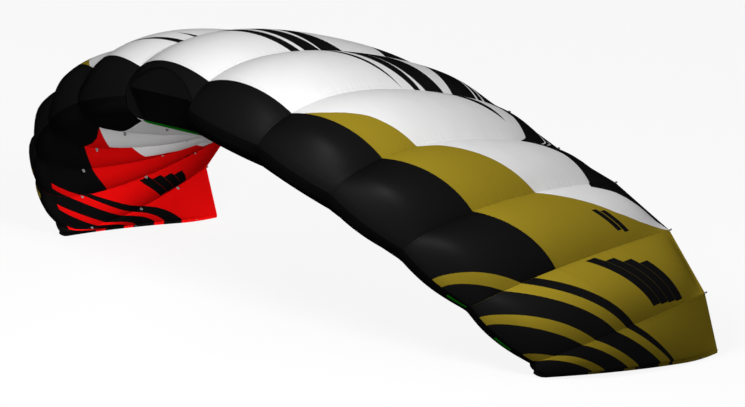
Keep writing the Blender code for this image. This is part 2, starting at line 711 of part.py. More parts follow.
def make_inlet(ribs, home, cutters, looks):
    """The arch panel, mesh, lip tape and valve flap of the centre cell's inlet."""
    left, right = ribs[RIBS_EACH_SIDE - 1], ribs[RIBS_EACH_SIDE]
    chord = right.chord
    nose = (left.nose + right.nose) / 2
    along = (left.along + right.along).normalized()
    up = (left.up + right.up).normalized()
    clear = RIB_CLOTH / 2 + GAP

    def half_width(depth, height):
        return right.place(depth / chord, height / chord).x - clear

    def level(depth, height, v):
        return nose + along * depth + up * height + Vector((half_width(depth, height) * (2 * v - 1), 0.0, 0.0))

    def held(x):
        return smooth(LIP_PLACE_SHARE, LIP_SLACK_SHARE, x)

    lip_width = LIP_TAPE_WIDTH / chord

    def lip_point(u, v):
        x = LIP_PLACE_SHARE + lip_width * u
        return cell_point(left, right, x, x, v, -1, held(x), (clear, clear), lift=GAP)

    sheet("inlet_lip_tape", home, looks["green"], 1, SPAN_STEPS, lip_point, TAPE, -up, offset=1.0)

    lip_depth = LIP_PLACE_SHARE * chord + LIP_TAPE_WIDTH
    lip_share = lip_depth / chord
    floor = (camber(lip_share) - half_depth(lip_share)) * chord
    slope = camber_slope(lip_share) - depth_slope(lip_share)
    mesh_low = floor + (SKIN + MESH_LIP_GAP) * sqrt(1 + slope * slope)

    def mesh_point(u, v):
        depth = MESH_SETBACK + (lip_depth - MESH_SETBACK) * u
        return level(depth, MESH_TOP + (mesh_low - MESH_TOP) * u, v)

    sheet("inlet_mesh", home, looks["black"], 1, 1, mesh_point, MESH, offset=0.0)

    def arch_point(u, v):
        x = INLET_TOP_SHARE + INLET_ARCH_SHARE * 4 * v * (1 - v) + ARCH_LAP / chord
        deep = SKIN + GAP + ARCH_CLOTH
        top = cell_point(left, right, x, x, v, 1, 1.0, (clear, clear), lift=-deep)
        return top.lerp(level(MESH_SETBACK, MESH_TOP + MESH + GAP, v), u)

    sheet("inlet_arch_panel", home, looks["black"], 3, SPAN_STEPS, arch_point, ARCH_CLOTH, offset=0.0)

    hinge_height = MESH_TOP - FLAP_ROLL_RADIUS
    hinge_depth = MESH_SETBACK + FLAP_SETBACK
    hinge = nose + along * hinge_depth + up * hinge_height
    foot = nose + along * (lip_depth + FLAP_SETBACK) + up * (mesh_low + FLAP_END_GAP)
    drop = foot - hinge
    side_axis = Vector((1.0, 0.0, 0.0))
    flap_half = half_width(hinge_depth, mesh_low) - FLAP_SIDE_GAP
    placed = frame_of(hinge, side_axis, drop)
    flap = box("inlet_valve_flap", home, looks["flap"], 2 * flap_half, drop.length, FLAP, placed)
    flap.data.transform(Matrix.Translation((0.0, drop.length / 2, 0.0)))
    roll = bmesh.new()
    roll_half = half_width(hinge_depth, hinge_height - FLAP_ROLL_RADIUS) - GAP / 2
    bmesh.ops.create_cone(roll, cap_ends=True, segments=FLAP_ROLL_SIDES, radius1=FLAP_ROLL_RADIUS,
                          radius2=FLAP_ROLL_RADIUS, depth=2 * roll_half)
    data = bpy.data.meshes.new("flap_roll")
    roll.to_mesh(data)
    roll.free()
    tool = add_object("flap_roll", data, cutters, None)
    tool.matrix_world = placed @ Matrix.Rotation(pi / 2, 4, "Y")
    join(flap, tool)
    return flap, hinge


def make_zip(ribs, home, cutters, looks):
    """The deflation zip under the centre cell, and its slider."""
    left, right = ribs[RIBS_EACH_SIDE - 1], ribs[RIBS_EACH_SIDE]

    def crest(x):
        return cell_point(left, right, x, x, 0.5, -1)

    start, end = crest(ZIP_START_SHARE), crest(ZIP_END_SHARE)
    run = end - start
    side_axis = Vector((1.0, 0.0, 0.0))
    down = run.cross(side_axis).normalized()
    if down.z > 0:
        down = -down
    middle = (start + end) / 2
    sag = max((crest(ZIP_START_SHARE + (ZIP_END_SHARE - ZIP_START_SHARE) * k / 4) - start).dot(down)
              for k in range(5))
    base = middle + down * (sag + GAP)
    tape_frame = frame_of(base + down * (ZIP_TAPE / 2), run, side_axis)
    tape = box("deflation_zip_tape", home, looks["black"], run.length, ZIP_WIDTH, ZIP_TAPE, tape_frame)
    teeth_length = run.length - 2 * TEETH_END
    teeth_depth = TEETH_HEIGHT + UNION_LAP
    teeth_frame = frame_of(base + down * (ZIP_TAPE - UNION_LAP + teeth_depth / 2), run, side_axis)
    join(tape, box("zip_teeth", cutters, None, teeth_length, TEETH_WIDTH, teeth_depth, teeth_frame))

    first = -teeth_length / 2 + SLIDER_END + SLIDER_LENGTH / 2
    crown = ZIP_TAPE + TEETH_HEIGHT + SLIDER_GAP
    centre = base + run.normalized() * first + down * (crown + SLIDER_HEIGHT / 2)
    slider = box("zip_slider", home, looks["metal"], SLIDER_LENGTH, SLIDER_WIDTH, SLIDER_HEIGHT,
                 frame_of(centre, run, side_axis))
    reach = SLIDER_LENGTH / 2 - UNION_LAP + PULL_LENGTH / 2
    lower = (SLIDER_HEIGHT - PULL_THICKNESS) / 2 - UNION_LAP
    pull_frame = frame_of(centre + run.normalized() * reach + down * lower, run, side_axis)
    join(slider, box("zip_pull", cutters, None, PULL_LENGTH, PULL_WIDTH, PULL_THICKNESS, pull_frame))
    travel = teeth_length - 2 * SLIDER_END - SLIDER_LENGTH
    return slider, centre, run.normalized(), travel


def centre_on_ground(home):
    """Moves everything so that the origin is under the middle of the canopy's box."""
    bpy.context.view_layer.update()
    graph = bpy.context.evaluated_depsgraph_get()
    depths = []
    for piece in home.objects:
        shape = piece.evaluated_get(graph)
        mesh = shape.to_mesh()
        depths += [(piece.matrix_world @ vertex.co).y for vertex in mesh.vertices]
        shape.to_mesh_clear()
    return -(min(depths) + max(depths)) / 2


def main():
    """Builds the canopy."""
    for old in list(bpy.data.objects):
        bpy.data.objects.remove(old)
    home = collection("foil_kite")
    cutters = collection("foil_kite_cutters")
    looks = {
        "white": material("white cloth", WHITE, 0.5),
        "gold": material("gold cloth", GOLD, 0.5),
        "red": material("red cloth", RED, 0.5),
        "black": material("black cloth", BLACK, 0.45),
        "green": material("green tape", GREEN, 0.5),
        "rib": material("grey webbing and rib cloth", GREY, 0.6),
        "flap": material("valve cloth", BLACK, 0.6),
        "metal": material("slider", GREY, 0.35, 1.0),
    }
    ribs, front, rear = stand(make_ribs())
    ears = (Ear(ribs[0], front, rear, -1), Ear(ribs[-1], front, rear, 1))
    make_skins(ribs, home, looks)
    make_ribs_solid(ribs, home, looks)
    make_ear(ears[0], 1, home, cutters, looks)
    make_ear(ears[1], 2 * RIBS_EACH_SIDE + 1, home, cutters, looks)
    make_nose_tape(ribs[RIBS_EACH_SIDE - 1 :: -1], ears[0], home, looks)
    make_nose_tape(ribs[RIBS_EACH_SIDE:], ears[1], home, looks)
    make_tail_hem(ribs, ears, home, cutters, looks)
    flap, hinge = make_inlet(ribs, home, cutters, looks)
    slider, centre, run, travel = make_zip(ribs, home, cutters, looks)

    shift = centre_on_ground(home)
    root = bpy.data.objects.new("canopy_frame", None)
    home.objects.link(root)
    for piece in list(home.objects) + list(cutters.objects):
        if piece is not root:
            piece.parent = root
    root.location = (0.0, shift, 0.0)
    moved = Vector((0.0, shift, 0.0))
    print("flap hinge", [round(c, 5) for c in hinge + moved])
    print("slider", [round(c, 5) for c in centre + moved], "run", [round(c, 5) for c in run], "travel", travel)
    print("tip edge", [round(c, 5) for c in front + moved], [round(c, 5) for c in rear + moved])


if __name__ == "__main__":
    main()
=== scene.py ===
"""Looks of a small closed-cell foil kite canopy, inflated and standing on its two tips.

Metres. X runs along the span, the nose faces -Y and +Z is up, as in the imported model.
"""

import json
import logging
from dataclasses import dataclass, replace
from enum import Enum
from functools import cached_property
from math import atan2, cos, pi, radians, sin, sqrt
from typing import Callable, Iterable, Sequence

import bmesh
import bpy
from mathutils import Matrix, Vector

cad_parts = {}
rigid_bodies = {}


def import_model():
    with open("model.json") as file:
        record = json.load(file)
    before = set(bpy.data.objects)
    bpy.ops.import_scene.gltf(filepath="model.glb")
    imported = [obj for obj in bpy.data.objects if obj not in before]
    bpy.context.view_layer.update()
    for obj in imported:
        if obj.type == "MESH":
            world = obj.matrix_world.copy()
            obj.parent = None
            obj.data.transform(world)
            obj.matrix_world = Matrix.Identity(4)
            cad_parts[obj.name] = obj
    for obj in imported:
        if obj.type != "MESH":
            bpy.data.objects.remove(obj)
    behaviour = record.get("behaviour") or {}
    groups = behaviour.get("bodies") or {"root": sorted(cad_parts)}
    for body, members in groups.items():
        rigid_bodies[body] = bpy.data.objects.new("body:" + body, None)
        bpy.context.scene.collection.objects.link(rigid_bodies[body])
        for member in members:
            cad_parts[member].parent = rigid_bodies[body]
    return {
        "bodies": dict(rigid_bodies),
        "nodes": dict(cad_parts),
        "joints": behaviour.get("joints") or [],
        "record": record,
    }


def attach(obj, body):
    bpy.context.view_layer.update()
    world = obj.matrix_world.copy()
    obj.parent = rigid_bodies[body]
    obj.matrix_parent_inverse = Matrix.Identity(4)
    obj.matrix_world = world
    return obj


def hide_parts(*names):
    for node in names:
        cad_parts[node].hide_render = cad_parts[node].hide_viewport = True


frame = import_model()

LOG = logging.getLogger("foil_kite")

Colour = tuple[float, float, float]
Place = tuple[float, float, float]
Pair = tuple[float, float]
Stops = tuple[Pair, ...]
Grid = tuple[int, int]
Shape = Callable[[float, float], Vector]
Mesh = bmesh.types.BMesh
Material = bpy.types.Material
Tree = bpy.types.NodeTree
Node = bpy.types.Node
Socket = bpy.types.NodeSocket

TINY_SHARE = 1e-9
STEP_SHARE = 0.01
BODY = "canopy"
CENTRE_NUMBER = 7
LAST_NUMBER = 13
TIP_COLOURS_FROM = 4  # cells from the centre one
NO_COLOUR: Colour = (0.0, 0.0, 0.0)
ACROSS = Vector((1.0, 0.0, 0.0))
BACK = Vector((0.0, 1.0, 0.0))
UP = Vector((0.0, 0.0, 1.0))


class Side(Enum):
    """The two skins of a cell."""

    UPPER = 1
    LOWER = -1


class Hand(Enum):
    """The two halves of the canopy."""

    LEFT = -1
    RIGHT = 1

    @property
    def word(self) -> str:
        """The word for this hand in the names of pieces."""
        return self.name.lower()

    @property
    def ear_number(self) -> int:
        """The number of this hand's tip cell."""
        return 1 if self is Hand.LEFT else LAST_NUMBER


class Slot(Enum):
    """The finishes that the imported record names."""

    WHITE = "white cloth"
    GOLD = "gold cloth"
    RED = "red cloth"
    BLACK = "black cloth"
    RIB = "rib cloth"
    GREEN = "green tape"
    MESH = "inlet mesh"
    VALVE = "valve cloth"
    ZIP = "zip tape"
    SLIDER = "slider"


def smooth(low: float, high: float, value: float) -> float:
    """A soft step of a value, from 0 up to low to 1 from high."""
    share = min(max((value - low) / (high - low), 0.0), 1.0)
    return share * share * (3 - 2 * share)


def frame_of(origin: Vector, x_axis: Vector, y_axis: Vector) -> Matrix:
    """A placing matrix.

    Args:
        origin: Its place.
        x_axis: Direction of its X.
        y_axis: Direction near its Y.

    Returns:
        The matrix, with square axes of unit length.
    """
    x_axis = x_axis.normalized()
    z_axis = x_axis.cross(y_axis).normalized()
    turned = Matrix((x_axis, z_axis.cross(x_axis), z_axis)).transposed()
    return Matrix.Translation(origin) @ turned.to_4x4()


@dataclass(frozen=True)
class Section:
    """The ribs' profile, in shares of the chord.

    The half depth's formula is scaled by bow. Its factors are for the root of the chord
    share and then for its powers.
    """

    thickness_share: float = 0.217
    bow: float = 5.0
    bow_shares: tuple[float, ...] = (0.2969, -0.1260, -0.3516, 0.2843, -0.1036)
    camber_share: float = 0.018
    camber_place_share: float = 0.30

    def half_depth(self, x: float) -> float:
        """Half the section's depth at chord share x."""
        root, *factors = self.bow_shares
        bow = root * sqrt(max(x, 0.0)) + sum(factor * x**n for n, factor in enumerate(factors, start=1))
        return self.bow * self.thickness_share * bow

    def depth_slope(self, x: float) -> float:
        """Slope of half_depth."""
        root, *factors = self.bow_shares
        bow = root / 2 / sqrt(max(x, TINY_SHARE))
        bow += sum(n * factor * x ** (n - 1) for n, factor in enumerate(factors, start=1))
        return self.bow * self.thickness_share * bow

    def camber(self, x: float) -> float:
        """Height of the section's middle line at chord share x."""
        place = self.camber_place_share
        if x < place:
            return self.camber_share / place**2 * (2 * place * x - x**2)
        return self.camber_share / (1 - place) ** 2 * ((1 - 2 * place) + 2 * place * x - x**2)

    def camber_slope(self, x: float) -> float:
        """Slope of the middle line."""
        place = self.camber_place_share
        reach = place if x < place else 1 - place
        return self.camber_share / reach**2 * 2 * (place - x)

    def nose_share(self, height: float) -> float:
        """Chord share where the half depth near the nose is this share of the chord."""
        return (height / (self.bow * self.thickness_share * self.bow_shares[0])) ** 2


SECTION = Section()


@dataclass(frozen=True)
class Rib:
    """One rib's place: its nose, the directions of its chord and its depth."""

    station: float
    share: float
    nose: Vector
    along: Vector
    up: Vector
    chord: float

    def place(self, x: float, height: float) -> Vector:
        """Point at chord share x, height above the chord line, in shares of the chord."""
        return self.nose + self.along * (x * self.chord) + self.up * (height * self.chord)

    def skin(self, x: float, side: Side) -> Vector:
        """Point of a skin at chord share x."""
        return self.place(x, SECTION.camber(x) + side.value * SECTION.half_depth(x))

    def normal(self, x: float, side: Side) -> Vector:
        """Outward normal of that skin, in the rib's plane."""
        slope = side.value * SECTION.camber_slope(x) + SECTION.depth_slope(x)
        return (self.up * side.value - self.along * slope).normalized()

    def face(self) -> Vector:
        """Direction square to the rib, towards +X."""
        return self.along.cross(self.up)

    def nose_share(self, height: float) -> float:
        """Chord share where the half depth near the nose is this length."""
        return SECTION.nose_share(height / self.chord)

    def tail_share(self, half: float) -> float:
        """Chord share where the half depth near the tail is this length."""
        return 1 + half / (SECTION.depth_slope(1.0) * self.chord)


@dataclass(frozen=True)
class Billow:
    """How far the cloth stands out between two ribs, as shares of the cell's width."""

    nose_share: float = 0.0865
    upper_share: float = 0.162
    lower_share: float = 0.085
    rise_share: float = 0.06
    chin_share: float = 0.012
    chin_place_share: float = 0.02
    belly_place_share: float = 0.35
    fade_share: float = 0.45
    end_share: float = 0.98
    upper_fade_power: float = 6.0
    lower_fade_power: float = 2.0

    def share(self, x: float, side: Side) -> float:
        """The billow at a chord share.

        Args:
            x: Chord share.
            side: The skin.

        Returns:
            The height of the billow, as a share of the cell's width.
        """
        if side is Side.UPPER:
            rise = self.upper_share - self.nose_share
            grown = self.nose_share + rise * smooth(0.0, self.rise_share, x)
        else:
            chin = self.chin_share - self.nose_share
            belly = self.lower_share - self.chin_share
            grown = self.nose_share + chin * smooth(0.0, self.chin_place_share, x)
            grown += belly * smooth(self.chin_place_share, self.belly_place_share, x)
        run = min(max((x - self.fade_share) / (self.end_share - self.fade_share), 0.0), 1.0)
        power = self.upper_fade_power if side is Side.UPPER else self.lower_fade_power
        return grown * (1 - run**power)


BILLOW = Billow()


@dataclass(frozen=True)
class Cell:
    """One cell between two ribs."""

    number: int
    left: Rib
    right: Rib

    @property
    def from_centre(self) -> int:
        """How many cells it lies from the centre one."""
        return abs(self.number - CENTRE_NUMBER)

    def point(self, x_left: float, x_right: float, v: float, side: Side, swell: float = 1.0,
              clear: float = 0.0, lift: float = 0.0) -> Vector:
        """Point of the cell's skin.

        Args:
            x_left: Chord share at the left rib.
            x_right: Chord share at the right rib.
            v: Share of the way across.
            side: The skin.
            swell: Share of the full billow.
            clear: Distance from the ribs' middle planes.
            lift: Height above the skin.

        Returns:
            The point.
        """
        a, b = self.left.skin(x_left, side), self.right.skin(x_right, side)
        across = b - a
        start = clear / abs(across.dot(self.left.face()))
        end = clear / abs(across.dot(self.right.face()))
        w = start + (1 - start - end) * v
        x = x_left + (x_right - x_left) * w
        normal = self.left.normal(x_left, side).lerp(self.right.normal(x_right, side), w).normalized()
        rise = BILLOW.share(x, side) * swell * across.length * 4 * v * (1 - v)
        return a.lerp(b, w) + normal * (rise + lift)

    def station(self, v: float) -> float:
        """Span station, where ribs lie on whole numbers and a half."""
        return self.left.station + v

    def width(self, x: float, side: Side) -> float:
        """Straight distance between the two ribs' skins at chord share x."""
        return (self.right.skin(x, side) - self.left.skin(x, side)).length


@dataclass(frozen=True)
class Ear:
    """One tip cell: its rib and the ends of its straight edge."""

    rib: Rib
    front: Vector
    rear: Vector
    hand: Hand
    shift: float
    rise: float = 0.012
    front_rise_end_share: float = 0.05
    rear_rise_start_share: float = 0.78
    bulge: float = 0.030
    hem_height: float = 0.010
    edge_half: float = 0.0016

    def edge(self, t: float) -> Vector:
        """Point of the tip edge's lower side, t along it from the nose."""
        lift = max(self.front_rise_end_share - t, 0.0) / self.front_rise_end_share
        tail = max(t - self.rear_rise_start_share, 0.0) / (1 - self.rear_rise_start_share)
        point = self.front.lerp(self.rear, t)
        bow = self.bulge * 4 * t * (1 - t)
        height = self.rise * (lift * lift + tail * tail)
        return Vector((self.hand.value * (point.x + bow), point.y + self.shift, height))

    def middle(self, x: float, v: float, clear: float = 0.0) -> tuple[Vector, float]:
        """Point half way between the ear's skins, and the share of its width from the rib."""
        a = self.rib.place(x, SECTION.camber(x))
        b = self.edge(x) + UP * self.hem_height
        start = clear / abs((b - a).dot(self.rib.face()))
        w = start + (1 - start) * v
        return a.lerp(b, w), w

    def outward(self, w: float) -> Vector:
        """Direction from the ear's middle to its outer skin."""
        return self.rib.up.lerp(ACROSS * self.hand.value, w).normalized()

    def half(self, x: float, w: float) -> float:
        """Half the ear's depth: the rib's own at the rib, and the hem's at the edge."""
        thin = self.edge_half
        return thin + (SECTION.half_depth(x) * self.rib.chord - thin) * sqrt(max(1 - w * w, 0.0))

    def skin(self, x: float, v: float, side: Side, clear: float = 0.0) -> Vector:
        """Point of the ear's outer or inner skin."""
        point, w = self.middle(x, v, clear)
        return point + self.outward(v) * side.value * self.half(x, w)

    def station(self, v: float) -> float:
        """Span station, which goes on past the last rib."""
        return self.rib.station + self.hand.value * v


@dataclass(frozen=True)
class Plan:
    """The plan and arch of the whole canopy, as the solids have them."""

    rib_span: float = 2.45
    ribs_each_side: int = 6
    cell_taper_share: float = 0.208
    centre_chord: float = 1.172
    tip_chord: float = 0.730
    chord_power: float = 2.30
    sweep: float = 0.456
    sweep_power: float = 2.23
    tip_turn: float = radians(63.7)
    turn_power: float = 0.887
    centre_twist: float = radians(6.6)
    tip_twist: float = radians(-5.6)
    twist_start_share: float = 0.416
    twist_end_share: float = 1.04
    ear_width: float = 0.209
    ear_lean: float = radians(86.5)
    ear_rake: float = 0.056
    ear_front_drop: float = 0.044
    shift: float = -0.67715

    def right_half(self) -> list[tuple[float, ...]]:
        """The right ribs' sizes.

        Returns:
            For each rib its share of the half span, place across, back and up, lean, twist and chord.
        """
        steps = self.ribs_each_side - 1
        widths = [1 - self.cell_taper_share * k / steps for k in range(self.ribs_each_side)]
        total = widths[0] / 2 + sum(widths[1:])
        half = self.rib_span / 2
        widths = [w * half / total for w in widths]
        x, z, run = widths[0] / 2, 0.0, widths[0] / 2
        rows = []
        for k in range(self.ribs_each_side):
            if k:
                turn = self.tip_turn * ((run + widths[k] / 2) / half) ** self.turn_power
                x += widths[k] * cos(turn)
                z -= widths[k] * sin(turn)
                run += widths[k]
            t = run / half
            lean = self.tip_turn * t**self.turn_power
            turned = smooth(self.twist_start_share, self.twist_end_share, t)
            twist = self.centre_twist + (self.tip_twist - self.centre_twist) * turned
            chord = self.centre_chord - (self.centre_chord - self.tip_chord) * t**self.chord_power
            rows.append((t, x, self.sweep * t**self.sweep_power, z, lean, twist, chord))
        return rows

    def build(self) -> "Canopy":
        """The canopy's ribs, cells and ears, standing on the ground."""
        rows = self.right_half()
        flying = []
        for side in (-1, 1):
            for k in reversed(range(len(rows))) if side < 0 else range(len(rows)):
                t, x, y, z, lean, twist, chord = rows[k]
                normal = Vector((side * sin(lean), 0.0, cos(lean)))
                along = BACK * cos(twist) - normal * sin(twist)
                up = normal * cos(twist) + BACK * sin(twist)
                flying.append(Rib(side * (k + 0.5), t, Vector((side * x, y, z)), along, up, chord))
        tip = flying[-1]
        front = tip.nose - UP * self.ear_front_drop
        out, drop = self.ear_width * cos(self.ear_lean), self.ear_width * sin(self.ear_lean)
        reach = Vector((out, self.ear_rake, -drop))
        rear = tip.place(1.0, 0.0) + reach
        pitch = Matrix.Rotation(-atan2(rear.z - front.z, rear.y - front.y), 3, "X")
        front, rear = pitch @ front, pitch @ rear
        down = UP * -front.z
        moved = down + BACK * self.shift
        ribs = [Rib(r.station, r.share, pitch @ r.nose + moved, pitch @ r.along, pitch @ r.up, r.chord)
                for r in flying]
        ears = {
            Hand.LEFT: Ear(ribs[0], front + down, rear + down, Hand.LEFT, self.shift),
            Hand.RIGHT: Ear(ribs[-1], front + down, rear + down, Hand.RIGHT, self.shift),
        }
        pairs = enumerate(zip(ribs, ribs[1:]), start=2)
        cells = [Cell(number, left, right) for number, (left, right) in pairs]
        return Canopy(ribs, cells, ears)


@dataclass(frozen=True)
class Canopy:
    """The ribs, full cells and ears that every piece is laid on."""

    ribs: list[Rib]
    cells: list[Cell]
    ears: dict[Hand, Ear]

    @property
    def centre(self) -> Cell:
        """The cell that holds the inlet and the zip."""
        return self.cells[len(self.cells) // 2]


@dataclass(frozen=True)
class Graph:
    """Adds nodes to the tree of a material or a group, and links them."""

    MIX_INPUTS = (0, 6, 7)  # the Mix node's sockets for a share and two colours
    MIX_OUTPUT = 2  # its socket for the colour

    tree: Tree

    def node(self, kind: str, **settings: object) -> Node:
        """Adds a node of this type with these settings."""
        made = self.tree.nodes.new(kind)
        for name, value in settings.items():
            setattr(made, name, value)
        return made

    def feed(self, socket: Socket, value: object) -> None:
        """Links a socket to another, or sets its own value."""
        if isinstance(value, Socket):
            self.tree.links.new(value, socket)
        else:
            socket.default_value = value

    def fill(self, node: Node, **values: object) -> Node:
        """Feeds a node's sockets, named with _ for a space, and returns the node."""
        for name, value in values.items():
            colour = isinstance(value, tuple) and len(value) == 3
            self.feed(node.inputs[name.replace("_", " ")], (*value, 1.0) if colour else value)
        return node

    def math(self, operation: str, *values: object, clamp: bool = False) -> Socket:
        """Adds a Math node and returns its output."""
        made = self.node("ShaderNodeMath", operation=operation, use_clamp=clamp)
        for socket, value in zip(made.inputs, values):
            self.feed(socket, value)
        return made.outputs[0]

    def times(self, first: object, *others: object) -> Socket:
        """The product of two or more values."""
        for other in others:
            first = self.math("MULTIPLY", first, other)
        return first

    def most(self, first: object, *others: object) -> Socket:
        """The greatest of two or more values."""
        for other in others:
            first = self.math("MAXIMUM", first, other)
        return first

    def rest(self, value: object) -> Socket:
        """1 less a value."""
        return self.math("SUBTRACT", 1.0, value)

    def apart(self, first: object, second: object) -> Socket:
        """How far two values are apart."""
        return self.math("ABSOLUTE", self.math("SUBTRACT", first, second))

    def near(self, gap: object, reach: object) -> Socket:
        """1 where a gap is nothing, falling to 0 at its reach."""
        return self.math("SUBTRACT", 1.0, self.math("DIVIDE", gap, reach), clamp=True)

    def step(self, value: object, low: float, high: float) -> Socket:
        """A soft step of a value, from 0 at low to 1 at high."""
        made = self.node("ShaderNodeMapRange", interpolation_type="SMOOTHSTEP")
        return self.fill(made, Value=value, From_Min=low, From_Max=high).outputs[0]

    def below(self, value: object, limit: object, soft: float) -> Socket:
        """1 where a value is below a limit, with an edge of this softness."""
        gap = self.math("SUBTRACT", limit, value)
        return self.math("ADD", self.math("DIVIDE", gap, soft), 0.5, clamp=True)

    def mix(self, share: object, first: object, second: object) -> Socket:
        """Mixes two colours by a share of the second."""
        made = self.node("ShaderNodeMix", data_type="RGBA")
        for place, given in zip(self.MIX_INPUTS, (share, first, second)):
            self.feed(made.inputs[place], (*given, 1.0) if isinstance(given, tuple) else given)
        return made.outputs[self.MIX_OUTPUT]

    def split(self, vector: object) -> tuple[Socket, ...]:
        """The X, Y and Z of a vector."""
        made = self.node("ShaderNodeSeparateXYZ")
        self.feed(made.inputs[0], vector)
        return tuple(made.outputs)

    def layer(self, name: str) -> Socket:
        """Reads a UV map of the piece."""
        return self.node("ShaderNodeUVMap", uv_map=name).outputs[0]

    def noise(self, vector: object, scale: float, detail: float = 2.0) -> Socket:
        """Noise from 0 to 1."""
        made = self.node("ShaderNodeTexNoise")
        return self.fill(made, Vector=vector, Scale=scale, Detail=detail).outputs[0]

    def curve(self, value: object, stops: Sequence[Pair]) -> Socket:
        """Reads a broken line through stops, whose ends lie at 0 and 1."""
        made = self.node("ShaderNodeFloatCurve")
        line = made.mapping.curves[0]
        line.points[0].location = stops[0]
        line.points[-1].location = stops[-1]
        for stop in stops[1:-1]:
            line.points.new(*stop)
        for knot in line.points:
            knot.handle_type = "VECTOR"
        made.mapping.update()
        return self.fill(made, Value=value).outputs[0]

    def use(self, group: Tree, **values: object) -> Node:
        """Places a node group and feeds its sockets."""
        return self.fill(self.node("ShaderNodeGroup", node_tree=group), **values)


class Kind(Enum):
    """Kinds of a node group's sockets."""

    NUMBER = "NodeSocketFloat"
    COLOUR = "NodeSocketColor"
    VECTOR = "NodeSocketVector"


def group(name: str, inputs: dict[str, Kind], outputs: dict[str, Kind]) -> tuple[Graph, dict, dict]:
    """Starts a node group.

    Args:
        name: The group's name.
        inputs: Kinds of its inputs by name.
        outputs: Kinds of its outputs by name.

    Returns:
        The graph inside it, the sockets that bring its inputs, and those that take its outputs.
    """
    tree = bpy.data.node_groups.new(name, "ShaderNodeTree")
    for label, kind in inputs.items():
        tree.interface.new_socket(name=label, in_out="INPUT", socket_type=kind.value)
    for label, kind in outputs.items():
        tree.interface.new_socket(name=label, in_out="OUTPUT", socket_type=kind.value)
    graph = Graph(tree)
    start, end = graph.node("NodeGroupInput"), graph.node("NodeGroupOutput")
    return (graph, {label: start.outputs[label] for label in inputs},
            {label: end.inputs[label] for label in outputs})


@dataclass(frozen=True)
class Stripe:
    """One curved stripe of the tips' print, which starts at the nose and sweeps back."""

    start: float
    slope_share: float = 0.235
    curl_share: float = 0.012
    width_share: float = 0.030
    growth: float = 0.5

    def mask(self, graph: Graph, away: object, share: object, edge: float) -> Socket:
        """1 on the stripe, which widens as it sweeps back."""
        past = graph.math("SUBTRACT", away, self.start)
        slope = graph.math("MULTIPLY_ADD", past, self.curl_share, self.slope_share)
        half = graph.times(graph.step(past, -self.growth, self.growth), self.width_share)
        return graph.below(graph.apart(share, graph.times(past, slope)), half, edge)


@dataclass(frozen=True)
class Sweep:
    """One slanted stripe with two pointed ends, given by its middle and half its width."""

    station: float
    place_share: float
    width_share: float
    slope_share: float = 0.14
    taper: float = 0.6

    def mask(self, graph: Graph, station: object, share: object, edge: float) -> Socket:
        """1 on the stripe."""
        along = graph.math("SUBTRACT", station, self.station)
        middle = graph.math("MULTIPLY_ADD", along, self.slope_share, self.place_share)
        half = graph.times(graph.rest(graph.times(along, along, self.taper)), self.width_share)
        return graph.below(graph.apart(share, middle), half, edge)


@dataclass(frozen=True)
class Bar:
    """One short slanted bar, given by its start, chord share, half width and length."""

    start: float
    place_share: float
    width_share: float
    length: float
    slope_share: float = 0.20

    def mask(self, graph: Graph, away: object, share: object, edge: float) -> Socket:
        """1 on the bar."""
        past = graph.math("SUBTRACT", away, self.start)
        middle = graph.math("MULTIPLY_ADD", past, self.slope_share, self.place_share)
        half = self.length / 2
        return graph.times(graph.below(graph.apart(past, half), half, edge),
                           graph.below(graph.apart(share, middle), self.width_share, edge))


